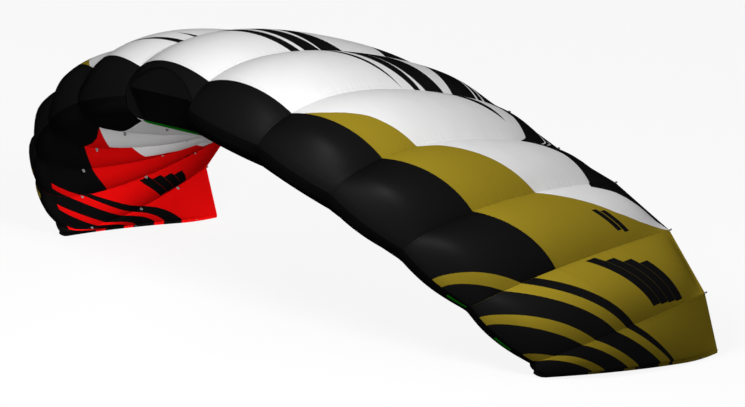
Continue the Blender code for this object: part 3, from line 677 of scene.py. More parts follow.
@dataclass(frozen=True)
class Print:
    """The colours printed on one side of the canopy, in span stations and chord shares.

    The stops tell by station, from the centre to an ear's edge, where the dark front and the
    bright colour end and the dark tail starts. Two pale pin lines cross the tail. Past the
    tip station lie the tips' own sloping dark front and its bright stripes.
    """

    name: str
    pale: Colour
    bright: Colour
    dark: Colour
    front_shares: Stops
    bright_shares: Stops
    rear_shares: Stops
    tip_start_share: float
    tip_slope_share: float
    stripes: tuple[Stripe, ...]
    sweeps: tuple[Sweep, ...] = ()
    bars: tuple[Bar, ...] = ()
    pin_shares: tuple[float, ...] = (0.13, 0.165)
    pin_half_share: float = 0.005
    pin_station: float = 2.62
    stripe_gap_share: float = 0.0
    last_station: float = 6.5
    tip_station: float = 4.5
    edge: float = 0.002

    def build(self) -> Tree:
        """The node group that gives the print's colour at a station and share."""
        graph, given, wanted = group(self.name, {"Place": Kind.VECTOR}, {"Color": Kind.COLOUR})
        station, share, _ = graph.split(given["Place"])
        away = graph.math("ABSOLUTE", station)
        run = graph.math("DIVIDE", away, self.last_station)
        tip = graph.below(self.tip_station, away, self.edge)
        inner = graph.rest(tip)
        bright = graph.below(share, self.line(graph, run, self.bright_shares), self.edge)
        front = graph.below(share, self.line(graph, run, self.front_shares), self.edge)
        front = graph.times(front, inner)
        rear = graph.times(self.tail(graph, run, away, share), inner)
        past = graph.math("SUBTRACT", away, self.tip_station)
        tip_edge = graph.math("MULTIPLY_ADD", past, self.tip_slope_share, self.tip_start_share)
        dark_tip = graph.times(graph.below(share, tip_edge, self.edge), tip)
        dark = graph.most(front, rear, dark_tip)
        for sweep in self.sweeps:
            dark = graph.most(dark, sweep.mask(graph, station, share, self.edge))
        for bar in self.bars:
            dark = graph.most(dark, bar.mask(graph, away, share, self.edge))
        lines = 0.0
        for stripe in self.stripes:
            lines = graph.most(lines, stripe.mask(graph, away, share, self.edge))
        lines = graph.times(lines, graph.most(dark_tip, front))
        if self.stripe_gap_share:
            lines = graph.times(lines, graph.below(self.stripe_gap_share, share, self.edge))
        colour = graph.mix(graph.most(bright, tip), self.pale, self.bright)
        colour = graph.mix(dark, colour, self.dark)
        graph.feed(wanted["Color"], graph.mix(lines, colour, self.bright))
        return graph.tree

    def line(self, graph: Graph, run: Socket, stops: Stops) -> Socket:
        """A broken line of chord shares over the stations."""
        return graph.curve(run, [(station / self.last_station, share) for station, share in stops])

    def tail(self, graph: Graph, run: object, away: object, share: object) -> Socket:
        """1 on the dark tail, less its pale lines."""
        start = self.line(graph, run, self.rear_shares)
        dark = graph.below(start, share, self.edge)
        behind = graph.math("SUBTRACT", share, start)
        for pin_share in self.pin_shares:
            pin = graph.below(graph.apart(behind, pin_share), self.pin_half_share, self.edge)
            pin = graph.times(pin, graph.below(away, self.pin_station, self.edge))
            dark = graph.times(dark, graph.rest(pin))
        return dark


@dataclass(frozen=True)
class SharedGroups:
    """The node groups that several finishes place."""

    ripstop: Tree
    stitches: Tree
    puckers: Tree

    @staticmethod
    def build() -> "SharedGroups":
        """Builds the three groups once."""
        return SharedGroups(make_ripstop(), make_stitches(), make_puckers())


def make_ripstop(thick_share: float = 0.09, thread_share: float = 0.1,
                 weave_share: float = 0.12) -> Tree:
    """Plain weave with a grid of thicker threads. Metres come in, height and grid go out.

    Args:
        thick_share: Width of a thick thread, as a share of the grid's pitch.
        thread_share: Pitch of the fine threads, as a share of it.
        weave_share: Half the height of the fine weave, as a share of the whole.

    Returns:
        The node group.
    """
    graph, given, wanted = group("ripstop_weave", {"Metres": Kind.VECTOR, "Pitch": Kind.NUMBER},
                                 {"Height": Kind.NUMBER, "Grid": Kind.NUMBER})
    pitch = given["Pitch"]
    grid = 0.0
    weave = 1.0
    for metres in graph.split(given["Metres"])[:2]:
        off = graph.math("PINGPONG", metres, graph.math("DIVIDE", pitch, 2.0))
        grid = graph.most(grid, graph.near(off, graph.times(pitch, thick_share)))
        turns = graph.math("DIVIDE", metres, graph.times(pitch, thread_share))
        weave = graph.times(weave, graph.math("SINE", graph.times(turns, 2 * pi)))
    fine = graph.math("MULTIPLY_ADD", weave, weave_share, weave_share)
    graph.feed(wanted["Height"], graph.math("MULTIPLY_ADD", grid, 1 - 2 * weave_share, fine))
    graph.feed(wanted["Grid"], grid)
    return graph.tree


def make_stitches(length: float = 0.0036, half_width: float = 0.0007, fold_start: float = 0.006,
                  fold_end: float = 0.009) -> Tree:
    """Two rows of stitches beside a seam, on a folded edge.

    Args:
        length: From one stitch to the next.
        half_width: Half the width of the thread.
        fold_start: Distance from the seam where the folded edge starts to thin out.
        fold_end: Distance where it has ended.

    Returns:
        The node group. The distance from the seam, metres along it and the places of both
        rows come in, and the thread's mask and the height go out.
    """
    inputs = ("Distance", "Along", "First", "Second")
    graph, given, wanted = group("seam_stitches", {name: Kind.NUMBER for name in inputs},
                                 {"Thread": Kind.NUMBER, "Height": Kind.NUMBER})
    place = graph.math("FRACT", graph.math("DIVIDE", given["Along"], length))
    dash = graph.times(graph.step(place, 0.05, 0.2), graph.rest(graph.step(place, 0.75, 0.9)))
    thread = 0.0
    for row in ("First", "Second"):
        near = graph.near(graph.apart(given["Distance"], given[row]), half_width)
        thread = graph.most(thread, graph.times(near, dash))
    graph.feed(wanted["Thread"], thread)
    fold = graph.rest(graph.step(given["Distance"], fold_start, fold_end))
    graph.feed(wanted["Height"], graph.math("MULTIPLY_ADD", thread, 0.5, graph.times(fold, 0.5)))
    return graph.tree


def make_puckers(stretch_share: float = 0.18, scale: float = 62.0) -> Tree:
    """Small gathers that run away from a seam and die out.

    Args:
        stretch_share: How much slower they change away from the seam than along it.
        scale: How many there are to a metre, more or less.

    Returns:
        The node group. The distance from the seam, metres along it and the gathers' reach
        come in, and their height goes out.
    """
    inputs = ("Distance", "Along", "Reach")
    graph, given, wanted = group("seam_puckers", {name: Kind.NUMBER for name in inputs},
                                 {"Height": Kind.NUMBER})
    place = graph.node("ShaderNodeCombineXYZ")
    graph.fill(place, X=graph.times(given["Distance"], stretch_share), Y=given["Along"])
    wave = graph.noise(place.outputs[0], scale, 1.0)
    fade = graph.near(given["Distance"], given["Reach"])
    graph.feed(wanted["Height"], graph.times(wave, graph.times(fade, fade)))
    return graph.tree


@dataclass(frozen=True)
class Finish:
    """A finish's own values: each kind of finish adds how it paints."""

    name: str
    roughness: float = 0.5
    specular: float = 0.0
    colour: Colour = NO_COLOUR

    def start(self) -> tuple[Material, Graph, Node]:
        """A new material, its graph and its shader."""
        made = bpy.data.materials.new(self.name)
        made.use_nodes = True
        graph = Graph(made.node_tree)
        shader = made.node_tree.nodes["Principled BSDF"]
        graph.fill(shader, Roughness=self.roughness, Specular_IOR_Level=self.specular)
        return made, graph, shader

    def bump(self, graph: Graph, shader: Node, height: object, depth: float,
             below: object = None) -> Socket:
        """Adds a bump of this depth in metres, on top of another one."""
        made = graph.fill(graph.node("ShaderNodeBump"), Distance=depth, Height=height)
        if below is not None:
            graph.fill(made, Normal=below)
        graph.fill(shader, Normal=made.outputs[0])
        return made.outputs[0]


@dataclass(frozen=True)
class SkinFinish(Finish):
    """Coated ripstop cloth with the canopy's print, seams and gathers.

    Its shine fades to nothing at the rim. The rows are the stitches' distances from the seams
    at the ribs and from the cloth's front and rear edges.
    """

    print_group: Tree | None = None
    fade_power: float = 4.0
    grid_pitch: float = 0.005
    seam_rows: Pair = (0.004, 0.0075)
    end_rows: Pair = (0.003, 0.0065)
    gather_reach: float = 0.055
    gather_depth: float = 0.0022
    fold_depth: float = 0.0004
    weave_depth: float = 0.00006
    cloud_scale: float = 9.0
    cloud_dark: float = 0.03
    grid_dark: float = 0.02
    thread_dark: float = 0.08
    cloud_rough: float = 0.06
    thread_rough: float = 0.2

    def build(self, shared: SharedGroups) -> Material:
        """The material, built on the shared groups."""
        made, graph, shader = self.start()
        if self.specular:
            rim = graph.node("ShaderNodeLayerWeight").outputs["Facing"]
            faced = graph.math("POWER", graph.rest(rim), self.fade_power)
            graph.fill(shader, Specular_IOR_Level=graph.times(faced, self.specular))
        metres = graph.layer("weave")
        across, along, _ = graph.split(metres)
        side, end, _ = graph.split(graph.layer("seam"))
        weave = graph.use(shared.ripstop, Metres=metres, Pitch=self.grid_pitch)
        seams = [
            graph.use(shared.stitches, Distance=off, Along=way, First=rows[0], Second=rows[1])
            for off, way, rows in ((side, along, self.seam_rows), (end, across, self.end_rows))
        ]
        gathers = graph.use(shared.puckers, Distance=side, Along=along, Reach=self.gather_reach)
        base = self.colour
        if self.print_group:
            base = graph.use(self.print_group, Place=graph.layer("print")).outputs["Color"]
        cloud = graph.step(graph.noise(metres, self.cloud_scale, 3.0), 0.3, 0.7)
        thread = graph.most(*(seam.outputs["Thread"] for seam in seams))
        darker = graph.times(weave.outputs["Grid"], self.grid_dark)
        darker = graph.math("MULTIPLY_ADD", cloud, self.cloud_dark, darker)
        darker = graph.math("MULTIPLY_ADD", thread, self.thread_dark, darker)
        graph.fill(shader, Base_Color=graph.mix(darker, base, NO_COLOUR))
        rough = graph.math("MULTIPLY_ADD", cloud, self.cloud_rough, self.roughness - self.cloud_rough / 2)
        graph.fill(shader, Roughness=graph.math("MULTIPLY_ADD", thread, self.thread_rough, rough))
        normal = self.bump(graph, shader, gathers.outputs["Height"], self.gather_depth)
        fold = graph.most(*(seam.outputs["Height"] for seam in seams))
        normal = self.bump(graph, shader, fold, self.fold_depth, normal)
        self.bump(graph, shader, weave.outputs["Height"], self.weave_depth, normal)
        return made


@dataclass(frozen=True)
class TapeFinish(Finish):
    """Woven tape with a rib along it and a line of stitches at each edge.

    Between the stations in spans, a share of its width has the second colour.
    """

    second: Colour = NO_COLOUR
    spans: Stops = ()
    width: float = 0.012
    second_share: float = 1.0
    span_edge: float = 0.004
    side_edge: float = 0.02
    stitch_row: float = 0.0014
    cord_pitch: float = 0.0012
    pick_pitch: float = 0.0009
    weave_dark: float = 0.25
    thread_dark: float = 0.2
    thread_height: float = 0.6
    depth: float = 0.00012

    def build(self, shared: SharedGroups) -> Material:
        """The material, built on the shared groups."""
        made, graph, shader = self.start()
        across, along, _ = graph.split(graph.layer("weave"))
        edge = graph.math("SUBTRACT", self.width / 2, graph.math("ABSOLUTE", across))
        row = self.stitch_row
        rows = graph.use(shared.stitches, Distance=edge, Along=along, First=row, Second=row)
        cord = graph.math("SINE", graph.times(across, 2 * pi / self.cord_pitch))
        pick = graph.math("SINE", graph.times(along, 2 * pi / self.pick_pitch))
        weave = graph.math("MULTIPLY_ADD", graph.times(cord, pick), 0.25, 0.5)
        colour = self.colour
        if self.spans:
            colour = graph.mix(self.second_mask(graph), self.colour, self.second)
        darker = graph.times(graph.rest(weave), self.weave_dark)
        darker = graph.math("MULTIPLY_ADD", rows.outputs["Thread"], self.thread_dark, darker)
        graph.fill(shader, Base_Color=graph.mix(darker, colour, NO_COLOUR))
        height = graph.math("MULTIPLY_ADD", rows.outputs["Thread"], self.thread_height, weave)
        self.bump(graph, shader, height, self.depth)
        return made

    def second_mask(self, graph: Graph) -> Socket:
        """1 where the tape has its second colour."""
        station, over, _ = graph.split(graph.layer("print"))
        mask = 0.0
        for start, end in self.spans:
            inside = graph.times(graph.below(start, station, self.span_edge),
                                 graph.below(station, end, self.span_edge))
            mask = graph.most(mask, inside)
        if self.second_share < 1:
            mask = graph.times(mask, graph.below(over, self.second_share, self.side_edge))
        return mask


@dataclass(frozen=True)
class WebbingFinish(Finish):
    """Narrow woven webbing or plain rib cloth, painted black over this length at the nose as painted shade
    where the rib shows inside the dark inlet.
    """

    pitch: float = 0.0012
    # length from the nose that is painted black, as painted shade inside the inlet
    patch: float = 0.0
    painted_shade_edge: float = 0.0005
    cloud_scale: float = 60.0
    dark: float = 0.12
    depth: float = 0.00012

    def build(self, shared: SharedGroups) -> Material:
        """The material, built on the shared groups."""
        made, graph, shader = self.start()
        metres = graph.layer("weave")
        weave = graph.use(shared.ripstop, Metres=metres, Pitch=self.pitch)
        cloud = graph.noise(metres, self.cloud_scale)
        darker = graph.times(weave.outputs["Grid"], self.dark)
        darker = graph.math("MULTIPLY_ADD", cloud, self.dark, darker)
        base = self.colour
        # painted shade: the rib's front is painted black, standing in for the shade inside the inlet
        if self.patch:
            painted_shade = graph.below(graph.split(metres)[0], self.patch, self.painted_shade_edge)
            base = graph.mix(painted_shade, base, BLACK)
        graph.fill(shader, Base_Color=graph.mix(darker, base, NO_COLOUR))
        self.bump(graph, shader, weave.outputs["Height"], self.depth)
        return made


@dataclass(frozen=True)
class MetalFinish(Finish):
    """Satin cast metal with small scratches and dull stains."""

    colour: Colour = (0.42, 0.42, 0.43)
    stain: Colour = (0.1, 0.1, 0.1)
    stain_share: float = 0.3
    grain_scale: float = 900.0
    cloud_scale: float = 120.0
    grain_rough: float = 0.2
    depth: float = 0.00003
    specular: float = 0.5

    def build(self) -> Material:
        """The material."""
        made, graph, shader = self.start()
        place = graph.node("ShaderNodeTexCoord").outputs["Object"]
        grain = graph.noise(place, self.grain_scale, 3.0)
        stain = graph.times(graph.noise(place, self.cloud_scale), self.stain_share)
        rough = graph.math("MULTIPLY_ADD", grain, self.grain_rough, self.roughness - self.grain_rough / 2)
        graph.fill(shader, Metallic=1.0, Roughness=rough,
                   Base_Color=graph.mix(stain, self.colour, self.stain))
        self.bump(graph, shader, grain, self.depth)
        return made


def show(name: str, data: bpy.types.ID) -> bpy.types.Object:
    """Puts a new object with this data in the scene."""
    made = bpy.data.objects.new(name, data)
    bpy.context.scene.collection.objects.link(made)
    return made


def merge(part: Mesh, mesh: Mesh) -> None:
    """Adds a part to a mesh and frees the part."""
    data = bpy.data.meshes.new("part")
    part.to_mesh(data)
    part.free()
    mesh.from_mesh(data)
    bpy.data.meshes.remove(data)


class Pieces:
    """Makes objects from meshes and hands them to the frame."""

    ARCH_LEAN = 2.0  # how fast the arch turns down, by which its inner side is told

    def __init__(self) -> None:
        """Starts with nothing made."""
        self.count = 0

    def add(self, name: str, mesh: Mesh, finish: Material, slot: Slot,
            replaces: Sequence[str], body: str = BODY, sharp: float = 40.0,
            inner: Material | None = None) -> bpy.types.Object:
        """Turns a mesh into a piece.

        Args:
            name: The piece's name.
            mesh: Its shape, which is freed.
            finish: Its material.
            slot: The record's slot, which is not used.
            replaces: The solids that it stands for.
            body: The body that it rides on.
            sharp: Angle in degrees from which an edge is sharp.
            inner: Material of the faces that look into the arch, where it is another one.

        Returns:
            The object.
        """
        if inner:
            mesh.normal_update()
            for patch in mesh.faces:
                out = self.ARCH_LEAN * patch.calc_center_median().x
                patch.material_index = 0 if patch.normal.z + out * patch.normal.x > 0 else 1
        data = bpy.data.meshes.new(name)
        mesh.to_mesh(data)
        mesh.free()
        data.materials.append(finish)
        if inner:
            data.materials.append(inner)
        data.shade_smooth()
        data.set_sharp_from_angle(angle=radians(sharp))
        made = show(name, data)
        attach(made, body)
        if replaces:
            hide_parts(*replaces)
        self.count += 1
        LOG.info("%s: %d faces", name, len(data.polygons))
        return made


@dataclass(frozen=True)
class Layers:
    """What a sheet's three maps hold at a point: print place, metres and seam distances."""

    place: Pair
    metres: Pair
    seams: Pair = (1.0, 1.0)


def sheet_mesh(rows: int, columns: int, shape: Shape, layers: Callable[[float, float], Layers],
               facing: Vector, thickness: float) -> tuple[Mesh, float, Pair]:
    """A sheet of cloth, thickened away from where it faces.

    Args:
        rows: Its quads along u.
        columns: Its quads along v.
        shape: Gives its point at u and v.
        layers: Gives its maps at u and v.
        facing: Direction that its outer side mostly faces.
        thickness: The cloth's thickness.

    Returns:
        The mesh, the area of one side and the sheet's greatest width and length.
    """
    mesh = bmesh.new()
    bmesh.ops.create_grid(mesh, x_segments=rows, y_segments=columns, size=0.5)
    maps = {name: mesh.loops.layers.uv.new(name) for name in ("print", "weave", "seam")}
    for corner in mesh.verts:
        u, v = corner.co.x + 0.5, corner.co.y + 0.5
        here = layers(u, v)
        for loop in corner.link_loops:
            loop[maps["print"]].uv = here.place
            loop[maps["weave"]].uv = here.metres
            loop[maps["seam"]].uv = here.seams
        corner.co = shape(u, v)
    mesh.normal_update()
    if sum(patch.normal.dot(facing) * patch.calc_area() for patch in mesh.faces) < 0:
        bmesh.ops.reverse_faces(mesh, faces=mesh.faces[:])
    area = sum(patch.calc_area() for patch in mesh.faces)
    mesh.normal_update()
    bmesh.ops.solidify(mesh, geom=mesh.faces[:], thickness=thickness)
    return mesh, area, spans_of(rows, columns, shape)


def spans_of(rows: int, columns: int, shape: Shape) -> Pair:
    """How wide and long a sheet is at its widest and longest.

    Args:
        rows: Steps along u.
        columns: Steps along v.
        shape: Gives its point at u and v.

    Returns:
        The greatest lengths along v and along u.
    """
    def length(points: list[Vector]) -> float:
        """Length of a broken line."""
        return sum((b - a).length for a, b in zip(points, points[1:]))

    widths = [length([shape(i / rows, j / columns) for j in range(columns + 1)]) for i in range(rows + 1)]
    lengths = [length([shape(i / rows, j / columns) for i in range(rows + 1)]) for j in range(columns + 1)]
    return max(widths), max(lengths)


@dataclass
class Cloths:
    """The skins of the eleven full cells and of the two ears."""

    pieces: Pieces
    canopy: Canopy
    nose: Material
    outer_nose: Material
    upper: Material
    lower: Material
    cloth: float = 0.0005
    clear: float = 0.00012
    nose_half: float = 0.0004
    tail_half: float = 0.0012
    nose_rows: int = 16
    upper_rows: int = 44
    lower_rows: int = 56
    columns: int = 20
    ear_rows: int = 56
    ear_columns: int = 24
    band_start_share: float = 0.048
    band_growth_share: float = 0.336
    seam_gap: float = 0.0002
    inlet_top_share: float = 0.008
    inlet_arch_share: float = 0.030
    lip_place_share: float = 0.043
    lip_slack_share: float = 0.12
    nose_power: float = 2.0
    ear_power: float = 1.6

    def band(self, rib: Rib) -> float:
        """Chord share where the nose band ends."""
        return self.band_start_share + self.band_growth_share * rib.share * rib.share

    def taut(self, x: float) -> float:
        """Share of the full billow behind the inlet's taut lip."""
        return smooth(self.lip_place_share, self.lip_slack_share, x)

    def build(self) -> None:
        """Builds every skin."""
        for cell in self.canopy.cells:
            self.nose_cloth(cell)
            self.upper_cloth(cell)
            self.lower_cloth(cell)
        for ear in self.canopy.ears.values():
            self.ear_cloth(ear, Side.UPPER)
            self.ear_cloth(ear, Side.LOWER)

    def nose_cloth(self, cell: Cell) -> None:
        """The black panel over a cell's nose."""
        centre = not cell.from_centre

        def start(rib: Rib, v: float) -> float:
            """Chord share of the front edge."""
            arch = self.inlet_top_share + self.inlet_arch_share * 4 * v * (1 - v)
            return arch if centre else rib.nose_share(self.nose_half)

        name = f"nose_cloth_{cell.number:02d}"
        finish = self.nose if cell.from_centre < TIP_COLOURS_FROM else self.outer_nose
        self.panel(name, cell, Side.UPPER, start, self.band, self.nose_rows,
                   1.0 if centre else self.nose_power, finish, Slot.BLACK, f"nose_panel_{cell.number:02d}")

    def upper_cloth(self, cell: Cell) -> None:
        """The upper skin behind the nose panel."""
        slot = Slot.WHITE if cell.from_centre < TIP_COLOURS_FROM else Slot.GOLD
        self.panel(f"upper_cloth_{cell.number:02d}", cell, Side.UPPER,
                   lambda rib, v: self.band(rib) + self.seam_gap / rib.chord,
                   lambda rib: rib.tail_share(self.tail_half), self.upper_rows, 1.0,
                   self.upper, slot, f"upper_skin_{cell.number:02d}")

    def lower_cloth(self, cell: Cell) -> None:
        """The lower skin, from the nose or the inlet's lip to the tail."""
        centre = not cell.from_centre
        slot = Slot.WHITE if cell.from_centre < TIP_COLOURS_FROM else Slot.RED
        self.panel(f"lower_cloth_{cell.number:02d}", cell, Side.LOWER,
                   lambda rib, v: self.lip_place_share if centre else rib.nose_share(self.nose_half),
                   lambda rib: rib.tail_share(self.tail_half), self.lower_rows, self.nose_power,
                   self.lower, slot, f"lower_skin_{cell.number:02d}", self.taut if centre else None)

    def panel(self, name: str, cell: Cell, side: Side, start: Callable[[Rib, float], float],
              end: Callable[[Rib], float], rows: int, power: float, finish: Material,
              slot: Slot, node: str, swell: Callable[[float], float] | None = None) -> None:
        """One panel of a cell's skin.

        Args:
            name: The piece's name.
            cell: Its cell.
            side: Its skin.
            start: Chord share of its front edge, for a rib and a share across.
            end: Chord share of its rear edge at a rib.
            rows: Its quads from front to rear.
            power: How much finer they are at the front.
            finish: Its material.
            slot: The record's slot.
            node: The solid that it stands for.
            swell: Share of the full billow at a chord share.
        """
        left, right = cell.left, cell.right

        def shares(u: float, v: float) -> Pair:
            """Chord shares at the two ribs."""
            first, last = start(left, v), start(right, v)
            return first + (end(left) - first) * u**power, last + (end(right) - last) * u**power

        def shape(u: float, v: float) -> Vector:
            """Point of the panel."""
            x_left, x_right = shares(u, v)
            held = swell(x_left) if swell else 1.0
            return cell.point(x_left, x_right, v, side, held, self.clear)

        def layers(u: float, v: float) -> Layers:
            """Maps of the panel."""
            x_left, x_right = shares(u, v)
            x = x_left + (x_right - x_left) * v
            chord = left.chord + (right.chord - left.chord) * v
            width = cell.width(x, side)
            front = start(left, v) + (start(right, v) - start(left, v)) * v
            back = end(left) + (end(right) - end(left)) * v
            return Layers((cell.station(v), x), ((v - 0.5) * width, x * chord),
                          (min(v, 1 - v) * width, min(x - front, back - x) * chord))

        facing = (left.up + right.up) * side.value - left.along * (1.0 if rows == self.nose_rows else 0.0)
        mesh, area, flat = sheet_mesh(rows, self.columns, shape, layers, facing, self.cloth)
        made = self.pieces.add(name, mesh, finish, slot, [node])

    def ear_cloth(self, ear: Ear, side: Side) -> None:
        """The outer or inner skin of one tip cell."""
        number = ear.hand.ear_number
        part = side.name.lower()
        start, end = ear.rib.nose_share(self.nose_half), ear.rib.tail_share(self.tail_half)

        def share(u: float) -> float:
            """Chord share."""
            return start + (end - start) * u**self.ear_power

        def shape(u: float, v: float) -> Vector:
            """Point of the skin."""
            return ear.skin(share(u), v, side, self.clear)

        def layers(u: float, v: float) -> Layers:
            """Maps of the skin."""
            x = share(u)
            width = (ear.edge(x) - ear.rib.place(x, SECTION.camber(x))).length
            return Layers((ear.station(v), x), ((v - 0.5) * width, x * ear.rib.chord),
                          (v * width, min(x - start, end - x) * ear.rib.chord))

        facing = ACROSS * (ear.hand.value * side.value)
        mesh, area, flat = sheet_mesh(self.ear_rows, self.ear_columns, shape, layers, facing, self.cloth)
        finish = self.upper if side is Side.UPPER else self.lower
        made = self.pieces.add(f"{part}_cloth_{number:02d}", mesh, finish, Slot.BLACK,
                               [f"{part}_skin_{number:02d}"])
        f"rib_cloth_{min(number, LAST_NUMBER - 1):02d}"


@dataclass
class RibCloths:
    """The twelve ribs with their cross ports."""

    pieces: Pieces
    canopy: Canopy
    finish: Material
    cloth: float = 0.0006
    inset: float = 0.0009
    steps: int = 40
    port_place_shares: tuple[float, ...] = (0.17, 0.36, 0.56)
    port_height_share: float = 0.50
    port_aspect: float = 1.5
    port_steps: int = 36
    end_gap: float = 0.0250
    merge_reach: float = 0.00001

    def build(self) -> None:
        """Builds every rib."""
        for number, rib in enumerate(self.canopy.ribs, start=1):
            self.rib(number, rib)

    def outline(self, rib: Rib) -> list[list[Pair]]:
        """The rib's outline and ports in its own plane, in metres."""
        end = 1 - self.end_gap / rib.chord
        shares = [end * (k / self.steps) ** 2 for k in range(self.steps + 1)]

        def at(x: float, side: Side) -> Pair:
            """Point of the outline."""
            point = rib.skin(x, side) - rib.normal(x, side) * self.inset - rib.nose
            return max(point.dot(rib.along), self.inset), point.dot(rib.up)

        edge = [at(x, Side.UPPER) for x in reversed(shares[2:])] + [at(x, Side.LOWER) for x in shares[2:]]
        turns = [2 * pi * k / self.port_steps for k in range(self.port_steps)]
        outlines = [edge]
        for x in self.port_place_shares:
            tall = SECTION.half_depth(x) * rib.chord * self.port_height_share
            wide = tall * self.port_aspect
            middle, height = x * rib.chord, SECTION.camber(x) * rib.chord
            outlines.append([(middle + wide * cos(turn), height + tall * sin(turn)) for turn in turns])
        return outlines

    def rib(self, number: int, rib: Rib) -> None:
        """One rib, as a flat filled outline that is made a mesh."""
        name = f"rib_cloth_{number:02d}"
        curve = bpy.data.curves.new(name, "CURVE")
        curve.dimensions = "2D"
        curve.fill_mode = "BOTH"
        curve.extrude = self.cloth / 2
        for points in self.outline(rib):
            spline = curve.splines.new("POLY")
            spline.points.add(len(points) - 1)
            for knot, (x, y) in zip(spline.points, points):
                knot.co = (x, y, 0.0, 1.0)
            spline.use_cyclic_u = True
        pattern = show(name, curve)
        graph = bpy.context.evaluated_depsgraph_get()
        flat = bpy.data.meshes.new_from_object(pattern.evaluated_get(graph))
        mesh = bmesh.new()
        mesh.from_mesh(flat)
        bpy.data.objects.remove(pattern)
        bpy.data.curves.remove(curve)
        bpy.data.meshes.remove(flat)
        bmesh.ops.remove_doubles(mesh, verts=mesh.verts, dist=self.merge_reach)
        layer = mesh.loops.layers.uv.new("weave")
        for patch in mesh.faces:
            for loop in patch.loops:
                loop[layer].uv = (loop.vert.co.x, loop.vert.co.y)
        area = sum(patch.calc_area() for patch in mesh.faces if patch.normal.z > 0.5)  # one side
        bmesh.ops.transform(mesh, matrix=frame_of(rib.nose, rib.along, rib.up), verts=mesh.verts)
        made = self.pieces.add(name, mesh, self.finish, Slot.RIB, [f"rib_{number:02d}"])
        f"upper_cloth_{min(max(number, 2), LAST_NUMBER - 1):02d}"


@dataclass(frozen=True)
class WebbingLoop:
    """A folded loop of narrow webbing, sewn in by its two ends."""

    width: float = 0.005
    reach: float = 0.010
    seat: float = 0.004
    swell: float = 0.0016
    cloth: float = 0.0009
    rows: int = 28
    tip_power: float = 2.6
    apart_share: float = 0.55
    fold_share: float = 1 / 6

    def path(self, u: float) -> Pair:
        """The webbing's middle line from one end to the other.

        Args:
            u: Share of the way along.

        Returns:
            Its distance from the seam and its height.
        """
        turn = 2 * u - 1
        out = self.reach - (self.reach + self.seat) * abs(turn) ** self.tip_power
        share = min(max(out / self.reach, 0.0), 1.0)
        height = self.swell * sqrt(max(share * (1 - share), 0.0)) * 2 + self.cloth * self.apart_share
        fade = min(1.0, abs(turn) / self.fold_share)
        return out, (1 if turn > 0 else -1) * height * fade

    def add_to(self, mesh: Mesh, frame: Matrix) -> None:
        """Adds one loop. Its frame has X away from the seam and Y across the webbing."""
        part, *_ = sheet_mesh(
            self.rows, 2,
            lambda u, v: frame @ Vector((self.path(u)[0], (v - 0.5) * self.width, self.path(u)[1])),
            lambda u, v: Layers((0.0, 0.0), ((v - 0.5) * self.width, u * 2 * self.reach)),
            frame.to_3x3() @ UP, self.cloth,
        )
        merge(part, mesh)


@dataclass
class Loops:
    """The bridle, brake and tip loops."""

    pieces: Pieces
    canopy: Canopy
    finish: Material
    loop: WebbingLoop = WebbingLoop()
    bridle_shares: tuple[float, ...] = (0.13, 0.45, 0.74)
    tip_shares: tuple[float, ...] = (0.50, 0.88)

    def build(self) -> None:
        """Builds every loop."""
        for number, rib in enumerate(self.canopy.ribs, start=1):
            frames = [frame_of(rib.skin(x, Side.LOWER), rib.normal(x, Side.LOWER), self.run(rib, x))
                      for x in self.bridle_shares]
            self.group(f"bridle_loops_{number:02d}", frames)
        ends = [frame_of(rib.place(1.0, 0.0), rib.along, rib.face()) for rib in self.canopy.ribs]
        self.group("brake_loops", ends)
        for hand, ear in self.canopy.ears.items():
            middle = UP * (ear.hem_height / 2)
            frames = [frame_of(ear.edge(t) + middle, ACROSS * hand.value, BACK) for t in self.tip_shares]
            self.group(f"tip_loops_{hand.word}", frames)

    def run(self, rib: Rib, x: float) -> Vector:
        """Direction of the lower seam at chord share x."""
        return rib.skin(x + STEP_SHARE, Side.LOWER) - rib.skin(x - STEP_SHARE, Side.LOWER)

    def group(self, name: str, frames: Iterable[Matrix]) -> None:
        """Several loops as one piece."""
        mesh = bmesh.new()
        for frame in frames:
            self.loop.add_to(mesh, frame)
        self.pieces.add(name, mesh, self.finish, Slot.RIB, [])


